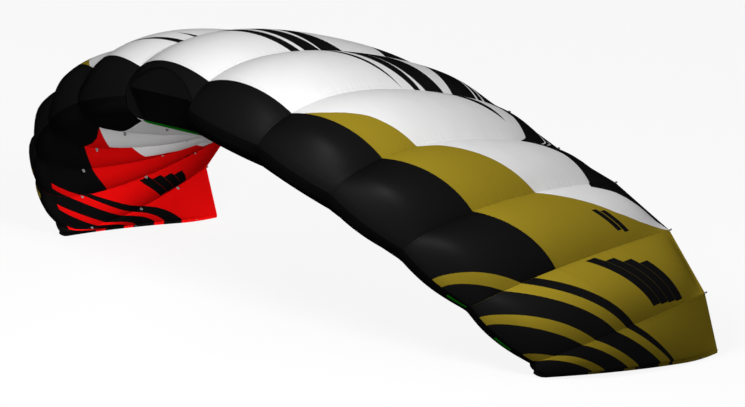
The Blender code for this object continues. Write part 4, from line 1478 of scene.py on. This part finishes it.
@dataclass
class Edges:
    """The nose tapes, the trailing hem and the two tip hems."""

    pieces: Pieces
    canopy: Canopy
    tapes: dict[Hand, Material]
    upper: Material
    lower: Material
    tape: float = 0.0006
    tape_width: float = 0.012
    tape_gap: float = 0.0003
    tape_end_share: float = 0.96
    cell_steps: int = 16
    ear_steps: int = 12
    tape_columns: int = 8
    tape_sharp: float = 60.0
    station_length: float = 0.22
    hem: float = 0.0013
    hem_width: float = 0.022
    hem_end: float = 0.0015
    hem_print_shares: Pair = (0.985, 0.999)
    tip_steps: int = 60
    tip_lap: float = 0.0001

    def build(self) -> None:
        """Builds the tapes and the hems."""
        for hand, ear in self.canopy.ears.items():
            self.nose_tape(hand, ear)
            self.tip_hem(hand, ear)
        self.tail_hem()

    def chain(self, hand: Hand) -> list[Rib]:
        """The ribs of one half from the centre outwards."""
        half = len(self.canopy.ribs) // 2
        return self.canopy.ribs[half:] if hand is Hand.RIGHT else self.canopy.ribs[half - 1 :: -1]

    def nose_tape(self, hand: Hand, ear: Ear) -> None:
        """The tape over the nose seam from the inlet to one tip, and down the ear's front."""
        chain = self.chain(hand)
        joined = [Cell(0, inner, outer) for inner, outer in zip(chain, chain[1:])]
        steps = len(joined) * self.cell_steps + self.ear_steps

        def shape(u: float, v: float) -> Vector:
            """Point of the tape."""
            width = 2 * v - 1
            side = Side.LOWER if width < 0 else Side.UPPER
            place = round(u * steps)
            number = min(place // self.cell_steps, len(joined))
            if number < len(joined):
                cell = joined[number]
                spread = abs(width) * self.tape_width / 2
                inner, outer = cell.left.nose_share(spread), cell.right.nose_share(spread)
                return cell.point(inner, outer, place / self.cell_steps - number, side, lift=self.tape_gap)
            share = ear.rib.nose_share(self.tape_width / 2)
            down = (place - number * self.cell_steps) / self.ear_steps * self.tape_end_share
            middle, w = ear.middle(share * width * width, down)
            spread = ear.outward(w) * width * (ear.half(share, w) + self.tape_gap)
            return middle + spread - ear.rib.along * self.tape_gap

        def layers(u: float, v: float) -> Layers:
            """Maps of the tape."""
            place = u * steps
            inner = min(place, len(joined) * self.cell_steps) / self.cell_steps
            station = 0.5 + inner + max(place - len(joined) * self.cell_steps, 0.0) / self.ear_steps
            return Layers((station, v), ((v - 0.5) * self.tape_width, station * self.station_length))

        facing = -(chain[0].along + chain[-1].along)
        mesh, area, flat = sheet_mesh(steps, self.tape_columns, shape, layers, facing, -self.tape)
        bmesh.ops.recalc_face_normals(mesh, faces=mesh.faces[:])
        made = self.pieces.add(f"nose_tape_{hand.word}", mesh, self.tapes[hand], Slot.BLACK,
                               [f"leading_edge_tape_{hand.word}"], sharp=self.tape_sharp)
        min(area, flat[0] * flat[1])

    def tail_hem(self) -> None:
        """The folded hem that the skins close on along the trailing edge."""
        ribs = self.canopy.ribs
        inner = (len(ribs) - 1) * self.cell_steps
        count = inner + 2 * self.ear_steps

        def rib_point(rib: Rib, u: float) -> Vector:
            """Point of the hem's middle at a rib."""
            x = 1 - self.hem_width / rib.chord * (1 - u)
            return rib.place(x, SECTION.camber(x))

        def shape(u: float, v: float) -> Vector:
            """Point of the hem."""
            number = round(v * count) - self.ear_steps
            if 0 <= number <= inner:
                cell = min(number // self.cell_steps, len(ribs) - 2)
                share = number / self.cell_steps - cell
                return rib_point(ribs[cell], u).lerp(rib_point(ribs[cell + 1], u), share)
            ear = self.canopy.ears[Hand.LEFT if number < 0 else Hand.RIGHT]
            down = (-number if number < 0 else number - inner) / self.ear_steps
            first = 1 - self.hem_width / ear.rib.chord
            start = first + (ear.rib.tail_share(self.hem_end) - first) * down
            return ear.middle(start + (1 - start) * u, down)[0]

        def layers(u: float, v: float) -> Layers:
            """Maps of the hem."""
            number = v * count - self.ear_steps
            station = ribs[0].station + min(max(number, 0.0), inner) / self.cell_steps
            station += (min(number, 0.0) + max(number - inner, 0.0)) / self.ear_steps
            first, last = self.hem_print_shares
            return Layers((station, first + (last - first) * u),
                          (station * self.station_length, u * self.hem_width))

        up = self.canopy.centre.left.up
        mesh, area, flat = sheet_mesh(2, count, shape, layers, up, self.hem)
        bmesh.ops.translate(mesh, verts=mesh.verts, vec=up * (self.hem / 2))
        made = self.pieces.add("tail_hem", mesh, self.upper, Slot.BLACK, ["trailing_edge_hem"],
                               inner=self.lower)

    def tip_hem(self, hand: Hand, ear: Ear) -> None:
        """The hem along one tip's bottom edge, which the canopy stands on."""
        def shape(u: float, v: float) -> Vector:
            """Point of the hem."""
            return ear.edge(u) + UP * (ear.hem_height * v)

        def layers(u: float, v: float) -> Layers:
            """Maps of the hem."""
            length = (ear.rear - ear.front).length
            return Layers((ear.station(1.0), u), ((v - 0.5) * ear.hem_height, u * length))

        half = ear.edge_half + self.tip_lap
        out = ACROSS * hand.value
        mesh, area, flat = sheet_mesh(self.tip_steps, 1, shape, layers, out, 2 * half)
        bmesh.ops.translate(mesh, verts=mesh.verts, vec=out * half)
        made = self.pieces.add(f"tip_hem_binding_{hand.word}", mesh, self.upper, Slot.BLACK,
                               [f"tip_hem_{hand.word}"], inner=self.lower)
        max(flat[0], ear.hem_height)
        f"tip_loops_{hand.word}"


@dataclass
class Inlet:
    """The centre cell's inlet: its lip tape, arch panel, mesh cover and valve flap.

    Depths are measured along the chord behind the nose, and heights from the chord line.
    """

    pieces: Pieces
    cloths: Cloths
    lip: Material
    black: Material
    net: Material
    valve: Material
    clear: float = 0.0006
    lip_seam: float = 0.010
    lip_tape_reach: float = 0.019
    lip_fold: float = 0.0008
    lip_fold_share: float = 0.12
    lip_lift: float = 0.0002
    lip_tape: float = 0.0006
    lip_grid: Grid = (16, 24)
    arch_lap: float = 0.006
    arch_drop: float = 0.0012
    arch_mesh_gap: float = 0.0008
    arch_cloth: float = 0.0005
    arch_grid: Grid = (10, 30)
    arch_area_share: float = 0.31
    mesh_top: float = 0.028
    mesh_setback: float = 0.016
    mesh_lip_gap: float = 0.0038
    mesh_cells: Grid = (40, 96)
    thread: float = 0.0005
    thread_area_share: float = 0.41
    flap_setback: float = 0.0050
    flap_side_gap: float = 0.012
    flap_end_gap: float = 0.004
    flap_cloth: float = 0.0009
    flap_grid: Grid = (10, 60)
    flap_ripple: float = 0.0004
    flap_waves: float = 3.5
    hinge_drop: float = 0.0020
    roll_radius: float = 0.0018
    roll_sides: int = 24
    map_width: float = 0.25
    map_height: float = 0.05
    net_map: Pair = (0.23, 0.10)

    @cached_property
    def cell(self) -> Cell:
        """The centre cell."""
        return self.cloths.canopy.centre

    @cached_property
    def chord(self) -> float:
        """Its chord."""
        return self.cell.right.chord

    @cached_property
    def nose(self) -> Vector:
        """The middle of its nose."""
        return (self.cell.left.nose + self.cell.right.nose) / 2

    @cached_property
    def along(self) -> Vector:
        """The direction of its chord."""
        return (self.cell.left.along + self.cell.right.along).normalized()

    @cached_property
    def up(self) -> Vector:
        """The direction of its depth."""
        return (self.cell.left.up + self.cell.right.up).normalized()

    @cached_property
    def lip_depth(self) -> float:
        """Where the mesh meets the lower skin, behind the lip."""
        return self.cloths.lip_place_share * self.chord + self.lip_seam

    @cached_property
    def mesh_low(self) -> float:
        """Height of the mesh's lower edge."""
        share = self.lip_depth / self.chord
        floor = (SECTION.camber(share) - SECTION.half_depth(share)) * self.chord
        slope = SECTION.camber_slope(share) - SECTION.depth_slope(share)
        return floor + self.mesh_lip_gap * sqrt(1 + slope * slope)

    def build(self) -> None:
        """Builds the four pieces."""
        self.lip_piece()
        self.arch_piece()
        self.net_piece()
        self.flap_piece()

    def half_width(self, depth: float, height: float) -> float:
        """Half the space between the two ribs at a depth and a height."""
        return self.cell.right.place(depth / self.chord, height / self.chord).x - self.clear

    def level(self, depth: float, height: float, v: float) -> Vector:
        """Point across the cell at a depth and height."""
        across = self.half_width(depth, height) * (2 * v - 1)
        return self.nose + self.along * depth + self.up * height + ACROSS * across

    def plain(self, u: float, v: float) -> Layers:
        """Maps of a piece that has no print."""
        width, height = self.map_width, self.map_height
        return Layers((v, u), ((v - 0.5) * width, u * height),
                      (min(v, 1 - v) * width, min(u, 1 - u) * height))

    def lip_piece(self) -> None:
        """The tape along the lower lip, which folds over its edge."""
        width = self.lip_tape_reach / self.chord
        start = self.cloths.lip_place_share - self.lip_fold / self.chord

        def shape(u: float, v: float) -> Vector:
            """Point of the tape."""
            x = start + width * u
            over = smooth(0.0, self.lip_fold_share, u)
            lift = self.lip_lift * over - self.lip_fold * (1 - over)
            return self.cell.point(x, x, v, Side.LOWER, self.cloths.taut(x), self.clear, lift)

        def layers(u: float, v: float) -> Layers:
            """Maps of the tape."""
            return Layers((v, u), ((u - 0.5) * self.lip_tape_reach, v * self.map_width))

        mesh, area, flat = sheet_mesh(*self.lip_grid, shape, layers, -self.up, -self.lip_tape)
        bmesh.ops.recalc_face_normals(mesh, faces=mesh.faces[:])
        made = self.pieces.add("lip_tape", mesh, self.lip, Slot.GREEN, ["inlet_lip_tape"])

    def arch_piece(self) -> None:
        """The black cloth panel from the nose panel's arched edge down to the mesh."""
        def shape(u: float, v: float) -> Vector:
            """Point of the panel."""
            arch = self.cloths.inlet_top_share + self.cloths.inlet_arch_share * 4 * v * (1 - v)
            x = arch + self.arch_lap / self.chord
            top = self.cell.point(x, x, v, Side.UPPER, 1.0, self.clear, -self.arch_drop)
            return top.lerp(self.level(self.mesh_setback, self.mesh_top + self.arch_mesh_gap, v), u)

        mesh, area, flat = sheet_mesh(*self.arch_grid, shape, self.plain, -self.along, self.arch_cloth)
        made = self.pieces.add("inlet_arch_cloth", mesh, self.black, Slot.BLACK, ["inlet_arch_panel"])
        max(area, self.arch_area_share * flat[0] * flat[1])

    def net_piece(self) -> None:
        """The open mesh that keeps sand out, with its threads as geometry."""
        def point(u: float, v: float) -> Vector:
            """Point of the mesh."""
            depth = self.mesh_setback + (self.lip_depth - self.mesh_setback) * u
            return self.level(depth, self.mesh_top + (self.mesh_low - self.mesh_top) * u, v)

        rows, columns = self.mesh_cells
        width, height = self.net_map
        mesh = bmesh.new()
        bmesh.ops.create_grid(mesh, x_segments=rows, y_segments=columns, size=0.5)
        layer = mesh.loops.layers.uv.new("weave")
        for corner in mesh.verts:
            u, v = corner.co.x + 0.5, corner.co.y + 0.5
            for loop in corner.link_loops:
                loop[layer].uv = (v * width, u * height)
            corner.co = point(u, v)
        area = sum(patch.calc_area() for patch in mesh.faces)
        made = self.pieces.add("inlet_net", mesh, self.net, Slot.MESH, ["inlet_mesh"])
        wires = made.modifiers.new("threads", "WIREFRAME")
        wires.thickness = self.thread
        wires.use_boundary = True
        wires.use_replace = True
        spans_of(rows, columns, point)

    def flap_piece(self) -> None:
        """The one-way valve flap and the rolled seam that it swings on."""
        depth = self.mesh_setback + self.flap_setback
        hinge = self.nose + self.along * depth + self.up * (self.mesh_top - self.hinge_drop)
        foot = self.nose + self.along * (self.lip_depth + self.flap_setback)
        foot += self.up * (self.mesh_low + self.flap_end_gap)
        drop = foot - hinge
        half = self.half_width(depth, self.mesh_low) - self.flap_side_gap
        placed = frame_of(hinge, ACROSS, drop)
        behind = placed.to_3x3() @ UP

        def shape(u: float, v: float) -> Vector:
            """Point of the flap."""
            ripple = self.flap_ripple * sin(2 * pi * self.flap_waves * v) * u
            return placed @ Vector((half * (2 * v - 1), drop.length * u, ripple))

        mesh, area, flat = sheet_mesh(*self.flap_grid, shape, self.plain, behind, self.flap_cloth)
        bmesh.ops.translate(mesh, verts=mesh.verts, vec=behind * (self.flap_cloth / 2))
        roll = bmesh.ops.create_cone(mesh, cap_ends=True, segments=self.roll_sides,
                                     radius1=self.roll_radius, radius2=self.roll_radius, depth=2 * half)
        turn = placed @ Matrix.Rotation(pi / 2, 4, "Y")
        bmesh.ops.transform(mesh, matrix=turn, verts=roll["verts"])
        made = self.pieces.add("valve_flap_cloth", mesh, self.valve, Slot.VALVE, ["inlet_valve_flap"],
                               body="valve_flap")


@dataclass
class Zip:
    """The deflation zip under the centre cell and its slider.

    Its own frame has X along the zip, Y across it and Z down, from the middle of the tapes.
    """

    pieces: Pieces
    canopy: Canopy
    tape_finish: Material
    teeth_finish: Material
    metal: Material
    start_share: float = 0.70
    end_share: float = 0.84
    gap: float = 0.0004
    width: float = 0.024
    slit: float = 0.0012
    tape: float = 0.0009
    tape_grid: Grid = (24, 4)
    solid_tape: float = 0.0012
    teeth_height: float = 0.0012
    teeth_end: float = 0.004
    tooth_pitch: float = 0.0020
    tooth_share: float = 0.42
    tooth_width: float = 0.0034
    tooth_height: float = 0.0013
    tooth_offset: float = 0.0011
    tooth_rise: float = 0.0007
    tooth_tip_shares: Pair = (0.8, 0.7)
    slider_length: float = 0.012
    slider_width: float = 0.010
    slider_height: float = 0.0024
    slider_gap: float = 0.0004
    slider_end: float = 0.003
    slider_round: float = 0.0003
    slider_nose_share: float = 0.7
    plate_share: float = 0.40
    bridge_share: float = 0.62
    bridge_width: float = 0.0024
    bridge_lap: float = 0.0001
    bridge_round: float = 0.0004
    pull_length: float = 0.022
    pull_width: float = 0.006
    pull_thickness: float = 0.0012
    pull_rise: float = 0.0004
    pull_inset: float = 0.0022
    pull_bar: float = 0.0016
    pull_end_share: float = 0.86
    arm_share: float = 0.36
    arm_width: float = 0.0012
    arm_lap: float = 0.0006
    grip_lap: float = 0.0018

    def crest(self, x: float) -> Vector:
        """Lowest line of the centre cell's lower skin at chord share x."""
        return self.canopy.centre.point(x, x, 0.5, Side.LOWER)

    @cached_property
    def length(self) -> float:
        """The tapes' length."""
        return (self.crest(self.end_share) - self.crest(self.start_share)).length

    @cached_property
    def teeth_length(self) -> float:
        """The length of the two rows of teeth."""
        return self.length - 2 * self.teeth_end

    @cached_property
    def frame(self) -> Matrix:
        """The zip's own frame."""
        start, end = self.crest(self.start_share), self.crest(self.end_share)
        run = end - start
        side = -ACROSS if run.cross(ACROSS).z > 0 else ACROSS
        down = run.cross(side).normalized()
        reach = self.end_share - self.start_share
        sag = max((self.crest(self.start_share + reach * k / 4) - start).dot(down) for k in range(5))
        return frame_of((start + end) / 2 + down * (sag + self.gap), run, side)

    def build(self) -> None:
        """Builds the tapes, the teeth and the slider."""
        self.tapes()
        self.teeth()
        self.slider()

    def tapes(self) -> None:
        """The two woven tapes, with a slit between them under the teeth."""
        down = self.frame.to_3x3() @ UP
        wide = (self.width - self.slit) / 2
        mesh = bmesh.new()
        for hand in Hand:
            def shape(u: float, v: float, side: int = hand.value) -> Vector:
                """Point of the tape."""
                across = side * (self.slit / 2 + v * wide)
                return self.frame @ Vector(((u - 0.5) * self.length, across, self.tape))

            def layers(u: float, v: float) -> Layers:
                """Maps of the tape."""
                return Layers((0.0, 0.0), ((v - 0.5) * self.width / 2, u * self.length))

            part, *_ = sheet_mesh(*self.tape_grid, shape, layers, down, self.tape)
            merge(part, mesh)
        self.pieces.add("zip_tapes", mesh, self.tape_finish, Slot.ZIP, ["deflation_zip_tape"])

    def teeth(self) -> None:
        """Two rows of moulded teeth that mesh with each other."""
        mesh = bmesh.new()
        size = Vector((self.tooth_pitch * self.tooth_share, self.tooth_width, self.tooth_height))
        narrow, low = self.tooth_tip_shares
        for k in range(int(self.teeth_length / self.tooth_pitch) * 2):
            hand = 1 if k % 2 else -1
            made = bmesh.ops.create_cube(mesh, size=1.0)["verts"]
            bmesh.ops.scale(mesh, vec=size, verts=made)
            for corner in made:
                if corner.co.y * hand < 0:
                    corner.co.z *= low
                    corner.co.x *= narrow
            along = (k + 0.5) * self.tooth_pitch / 2 - self.teeth_length / 2
            place = Vector((along, hand * self.tooth_offset, self.tape + self.tooth_rise))
            bmesh.ops.translate(mesh, verts=made, vec=place)
        bmesh.ops.transform(mesh, matrix=self.frame, verts=mesh.verts)
        self.pieces.add("zip_teeth", mesh, self.teeth_finish, Slot.ZIP, [], sharp=30.0)

    def slab(self, mesh: Mesh, size: Place, place: Place, round_by: float, nose: float = 1.0) -> None:
        """Adds a rounded block.

        Args:
            mesh: The mesh that gets it.
            size: Its length, width and height.
            place: Its middle.
            round_by: Radius of its edges.
            nose: How wide its far end is, as a share.
        """
        made = bmesh.ops.create_cube(mesh, size=1.0)["verts"]
        bmesh.ops.scale(mesh, vec=size, verts=made)
        for corner in made:
            if corner.co.x > 0:
                corner.co.y *= nose
        edges = list({edge for corner in made for edge in corner.link_edges})
        bevel = bmesh.ops.bevel(mesh, geom=edges, offset=round_by, segments=2, affect="EDGES",
                                profile=0.5, material=-1)
        moved = {v for v in bevel["verts"]} | {v for v in made if v.is_valid}
        bmesh.ops.translate(mesh, verts=list(moved), vec=place)

    def slider(self) -> None:
        """The slider with its bridge and its pull tab."""
        first = self.slider_end + (self.slider_length - self.teeth_length) / 2
        crown = self.solid_tape + self.teeth_height + self.slider_gap
        plate = self.slider_height * self.plate_share
        bridge = self.slider_height - plate
        mesh = bmesh.new()
        self.slab(mesh, (self.slider_length, self.slider_width, plate), (first, 0.0, crown + plate / 2),
                  self.slider_round, self.slider_nose_share)
        self.slab(mesh, (self.slider_length * self.bridge_share, self.bridge_width,
                         bridge + 2 * self.bridge_lap),
                  (first, 0.0, crown + plate + bridge / 2 - self.bridge_lap), self.bridge_round)
        start = first + self.slider_length / 2 - self.pull_inset
        height = crown + self.slider_height / 2 + self.pull_rise
        arm = self.pull_length * self.arm_share
        for hand in Hand:
            across = hand.value * (self.pull_width - self.arm_width) / 2
            self.slab(mesh, (arm, self.arm_width, self.pull_thickness), (start + arm / 2, across, height),
                      self.slider_round)
        self.slab(mesh, (self.pull_bar, self.pull_width, self.pull_thickness), (start, 0.0, height),
                  self.slider_round)
        grip = self.pull_length - arm + self.grip_lap
        self.slab(mesh, (grip, self.pull_width, self.pull_thickness),
                  (start + arm + grip / 2 - self.arm_lap, 0.0, height), self.bridge_round,
                  self.pull_end_share)
        bmesh.ops.transform(mesh, matrix=self.frame, verts=mesh.verts)
        bmesh.ops.recalc_face_normals(mesh, faces=mesh.faces[:])
        self.pieces.add("zip_slider_body", mesh, self.metal, Slot.SLIDER, ["zip_slider"], body="slider",
                        sharp=50.0)


@dataclass(frozen=True)
class Studio:
    """The floor, the lamps and the camera."""

    camera_place: Place = (4.5118, -5.0361, 1.3736)
    camera_right: Place = (0.74632, 0.65607, 0.1122)
    camera_up: Place = (-0.18633, 0.0441, 0.9815)
    lens: float = 110.778
    sensor_width: float = 36.0
    floor_size: float = 90.0
    floor_roughness: float = 0.9
    floor_colour: Colour = (0.97, 0.97, 0.97)
    floor_glow_share: float = 0.90
    bounce_colour: Colour = (0.20, 0.20, 0.20)
    world_level: float = 0.26
    key_place: Place = (1.25, -1.4, 1.25)
    key_level: float = 1.02
    key_radius: float = 0.28
    side_place: Place = (1.5, -2.4, 0.45)
    side_aim: Place = (-0.95, 0.2, 0.05)
    side_level: float = 1.50
    side_radius: float = 0.2
    side_angle: float = radians(18.0)

    def build(self) -> None:
        """Sets up the whole stage."""
        self.floor()
        self.world()
        self.key()
        self.side()
        self.camera()

    def floor(self) -> None:
        """The pale floor, which keeps the canopy's shadow and fades to white far away."""
        mesh = bmesh.new()
        bmesh.ops.create_grid(mesh, x_segments=1, y_segments=1, size=self.floor_size)
        data = bpy.data.meshes.new("floor")
        mesh.to_mesh(data)
        mesh.free()
        show("floor", data)
        look = bpy.data.materials.new("floor")
        look.use_nodes = True
        graph, nodes = Graph(look.node_tree), look.node_tree.nodes
        shader = nodes["Principled BSDF"]
        seen = self.seen(graph)
        graph.fill(shader, Roughness=self.floor_roughness, Specular_IOR_Level=0.0,
                   Base_Color=graph.mix(seen, self.bounce_colour, self.floor_colour))
        glow = graph.node("ShaderNodeEmission")
        share = graph.times(seen, self.floor_glow_share)
        self.blend(graph, share, shader, glow, nodes["Material Output"])
        data.materials.append(look)

    def world(self) -> None:
        """The even light from all sides, and white behind the floor."""
        made = bpy.data.worlds.new("studio")
        bpy.context.scene.world = made
        made.use_nodes = True
        graph, nodes = Graph(made.node_tree), made.node_tree.nodes
        plain, white = nodes["Background"], graph.node("ShaderNodeBackground")
        graph.fill(plain, Color=(1.0, 1.0, 1.0), Strength=self.world_level)
        graph.fill(white, Color=(1.0, 1.0, 1.0), Strength=1.0)
        self.blend(graph, self.seen(graph), plain, white, nodes["World Output"])

    def blend(self, graph: Graph, share: Socket, first: Node, second: Node, output: Node) -> None:
        """Mixes two shaders into a tree's output, by the second one's share."""
        mixed = graph.node("ShaderNodeMixShader")
        for socket, value in zip(mixed.inputs, (share, first.outputs[0], second.outputs[0])):
            graph.feed(socket, value)
        graph.fill(output, Surface=mixed.outputs[0])

    def seen(self, graph: Graph) -> Socket:
        """1 for what the camera sees, itself or in gloss and glass."""
        rays = graph.node("ShaderNodeLightPath")
        kinds = ("Is Camera Ray", "Is Glossy Ray", "Is Transmission Ray")
        return graph.most(*(rays.outputs[kind] for kind in kinds))

    def key(self) -> None:
        """The soft lamp in front of the right half."""
        data = bpy.data.lights.new("key", "POINT")
        data.shadow_soft_size = self.key_radius
        self.stand(data, self.key_level, self.key_place, self.side_aim)

    def side(self) -> None:
        """The lamp that reaches under the arch to the far tip."""
        data = bpy.data.lights.new("side", "SPOT")
        data.spot_size = self.side_angle
        data.spot_blend = 1.0
        data.shadow_soft_size = self.side_radius
        self.stand(data, self.side_level, self.side_place, self.side_aim)

    def stand(self, data: bpy.types.Light, level: float, place: Place, aim: Place) -> None:
        """Stands a lamp that lights near and far alike.

        Args:
            data: The lamp.
            level: How bright it makes white cloth that faces it, where 1 is white.
            place: Where it stands.
            aim: The point that it looks at.
        """
        data.energy = level * 4 * pi**2
        data.use_nodes = True
        graph = Graph(data.node_tree)
        even = graph.fill(graph.node("ShaderNodeLightFalloff"), Strength=1.0)
        graph.fill(data.node_tree.nodes["Emission"], Strength=even.outputs["Constant"])
        made = show(data.name, data)
        made.visible_camera = False
        turned = (Vector(place) - Vector(aim)).to_track_quat("Z", "Y").to_matrix()
        made.matrix_world = Matrix.Translation(Vector(place)) @ turned.to_4x4()

    def camera(self) -> None:
        """The camera at the photograph's place, with its slight roll."""
        data = bpy.data.cameras.new("camera")
        data.lens = self.lens
        data.sensor_width = self.sensor_width
        made = show("camera", data)
        right = Vector(self.camera_right).normalized()
        up = Vector(self.camera_up)
        back = right.cross(up).normalized()
        turned = Matrix((right, back.cross(right), back)).transposed()
        made.matrix_world = Matrix.Translation(Vector(self.camera_place)) @ turned.to_4x4()
        bpy.context.scene.camera = made
        bpy.context.scene.view_settings.view_transform = "Standard"


WHITE: Colour = (0.88, 0.88, 0.88)
GOLD: Colour = (0.31, 0.226, 0.016)
RED: Colour = (0.80, 0.004, 0.004)
BLACK: Colour = (0.0045, 0.0045, 0.0047)
NOSE_BLACK: Colour = (0.0035, 0.0035, 0.0036)
VALVE_BLACK: Colour = (0.006, 0.006, 0.0065)
NET_BLACK: Colour = (0.005, 0.005, 0.0055)
ZIP_BLACK: Colour = (0.012, 0.012, 0.012)
TEETH_BLACK: Colour = (0.03, 0.03, 0.03)
GREEN: Colour = (0.0, 0.20, 0.0)
GREY: Colour = (0.22, 0.22, 0.225)
RIB_GREY: Colour = (0.42, 0.42, 0.43)
NOSE_GLOSS = 0.075
SKIN_GLOSS = 0.045

TIP_STRIPES = tuple(Stripe(station) for station in (4.05, 4.72, 5.39))
TIP_BARS = (
    Bar(4.54, 0.44, 0.026, 0.84),
    Bar(4.63, 0.51, 0.026, 0.77),
    Bar(4.72, 0.58, 0.026, 0.70),
    Bar(4.81, 0.65, 0.026, 0.63),
    Bar(3.98, 0.60, 0.014, 0.34),
    Bar(4.02, 0.64, 0.014, 0.34),
)
NOWHERE_SHARES = ((0.0, 0.0), (6.5, 0.0))
EVERYWHERE_SHARES = ((0.0, 1.0), (6.5, 1.0))

UPPER_PRINT = Print(
    name="upper_print",
    pale=WHITE,
    bright=GOLD,
    dark=BLACK,
    front_shares=NOWHERE_SHARES,
    bright_shares=(
        (0.0, 0.0), (1.4, 0.045), (1.8, 0.114), (2.05, 0.179), (2.3, 0.22), (2.5, 0.25), (2.6, 0.305),
        (3.0, 0.388), (3.5, 0.485), (3.7, 0.555), (4.08, 0.702), (4.28, 0.817), (4.5, 1.0), (6.5, 1.0),
    ),
    rear_shares=(
        (0.0, 0.71), (1.5, 0.71), (1.9, 0.79), (2.1, 0.815), (2.45, 0.8), (2.55, 0.72), (2.98, 0.796),
        (3.48, 0.815), (3.58, 0.775), (3.75, 0.849), (3.95, 0.893), (4.17, 0.96), (4.5, 1.0), (6.5, 1.0),
    ),
    tip_start_share=0.19,
    tip_slope_share=0.255,
    stripes=TIP_STRIPES,
    sweeps=(Sweep(0.2, 0.30, 0.018), Sweep(0.52, 0.41, 0.030), Sweep(0.95, 0.55, 0.052)),
    bars=TIP_BARS,
)

NOSE_PRINT = replace(UPPER_PRINT, name="nose_print", dark=NOSE_BLACK, front_shares=EVERYWHERE_SHARES,
                     bars=())

LOWER_PRINT = Print(
    name="lower_print",
    pale=WHITE,
    bright=RED,
    dark=BLACK,
    front_shares=(
        (0.0, 0.0), (0.495, 0.0), (0.505, 0.051), (0.75, 0.065), (1.29, 0.102), (1.49, 0.114), (1.51, 0.054),
        (1.93, 0.081), (2.21, 0.091), (2.5, 0.091), (3.1, 0.134), (3.7, 0.179), (4.5, 0.25), (6.5, 0.25),
    ),
    bright_shares=(
        (0.0, 0.0), (1.45, 0.045), (1.86, 0.097), (2.34, 0.158), (2.38, 0.228), (2.9, 0.32), (2.95, 0.42),
        (3.14, 0.49), (3.86, 0.68), (4.5, 1.0), (6.5, 1.0),
    ),
    rear_shares=EVERYWHERE_SHARES,
    tip_start_share=0.17,
    tip_slope_share=0.31,
    stripes=TIP_STRIPES,
    stripe_gap_share=0.022,
    bars=TIP_BARS,
)


def main(frame: dict) -> None:
    """Builds the canopy's looks, its stage and its camera.

    Args:
        frame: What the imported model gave.
    """
    logging.basicConfig(level=logging.INFO, format="%(message)s")
    LOG.info("%d solids", len(frame["nodes"]))
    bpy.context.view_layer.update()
    shared = SharedGroups.build()
    upper = SkinFinish("upper skin cloth", roughness=0.46, specular=SKIN_GLOSS, colour=WHITE,
                       print_group=UPPER_PRINT.build()).build(shared)
    lower = SkinFinish("lower skin cloth", roughness=0.40, colour=WHITE,
                       print_group=LOWER_PRINT.build()).build(shared)
    nose = SkinFinish("nose cloth", specular=NOSE_GLOSS, colour=NOSE_BLACK).build(shared)
    outer_nose = SkinFinish("outer nose cloth", specular=NOSE_GLOSS, colour=NOSE_BLACK,
                            print_group=NOSE_PRINT.build()).build(shared)
    valve = SkinFinish("valve cloth", roughness=0.55, colour=VALVE_BLACK).build(shared)
    webbing = WebbingFinish("grey webbing", roughness=0.7, colour=GREY).build(shared)
    # the rib cloth's front 0.16 m is painted black, as painted shade inside the inlet
    rib = WebbingFinish("rib cloth", roughness=0.6, colour=RIB_GREY, pitch=0.005, patch=0.16).build(shared)
    net = WebbingFinish("inlet net thread", roughness=0.6, colour=NET_BLACK).build(shared)
    tapes = {
        Hand.LEFT: TapeFinish("left nose tape", colour=BLACK).build(shared),
        Hand.RIGHT: TapeFinish("right nose tape", colour=BLACK, second=GREEN, second_share=0.5,
                               spans=((4.24, 4.47), (4.99, 5.22))).build(shared),
    }
    lip = TapeFinish("lip tape", colour=WHITE, second=GREEN, spans=((0.06, 1.1),),
                     width=Inlet.lip_tape_reach).build(shared)
    zip_tape = TapeFinish("zip tape cloth", roughness=0.6, colour=ZIP_BLACK).build(shared)
    teeth = MetalFinish("zip teeth", roughness=0.45, colour=TEETH_BLACK).build()
    metal = MetalFinish("slider metal", roughness=0.38).build()

    canopy = Plan().build()
    pieces = Pieces()
    cloths = Cloths(pieces, canopy, nose, outer_nose, upper, lower)
    cloths.build()
    RibCloths(pieces, canopy, rib).build()
    Loops(pieces, canopy, webbing).build()
    Edges(pieces, canopy, tapes, upper, lower).build()
    Inlet(pieces, cloths, lip, nose, net, valve).build()
    Zip(pieces, canopy, zip_tape, teeth, metal).build()
    Studio().build()
    LOG.info("%d pieces", pieces.count)


if __name__ == "__main__":
    main(frame)
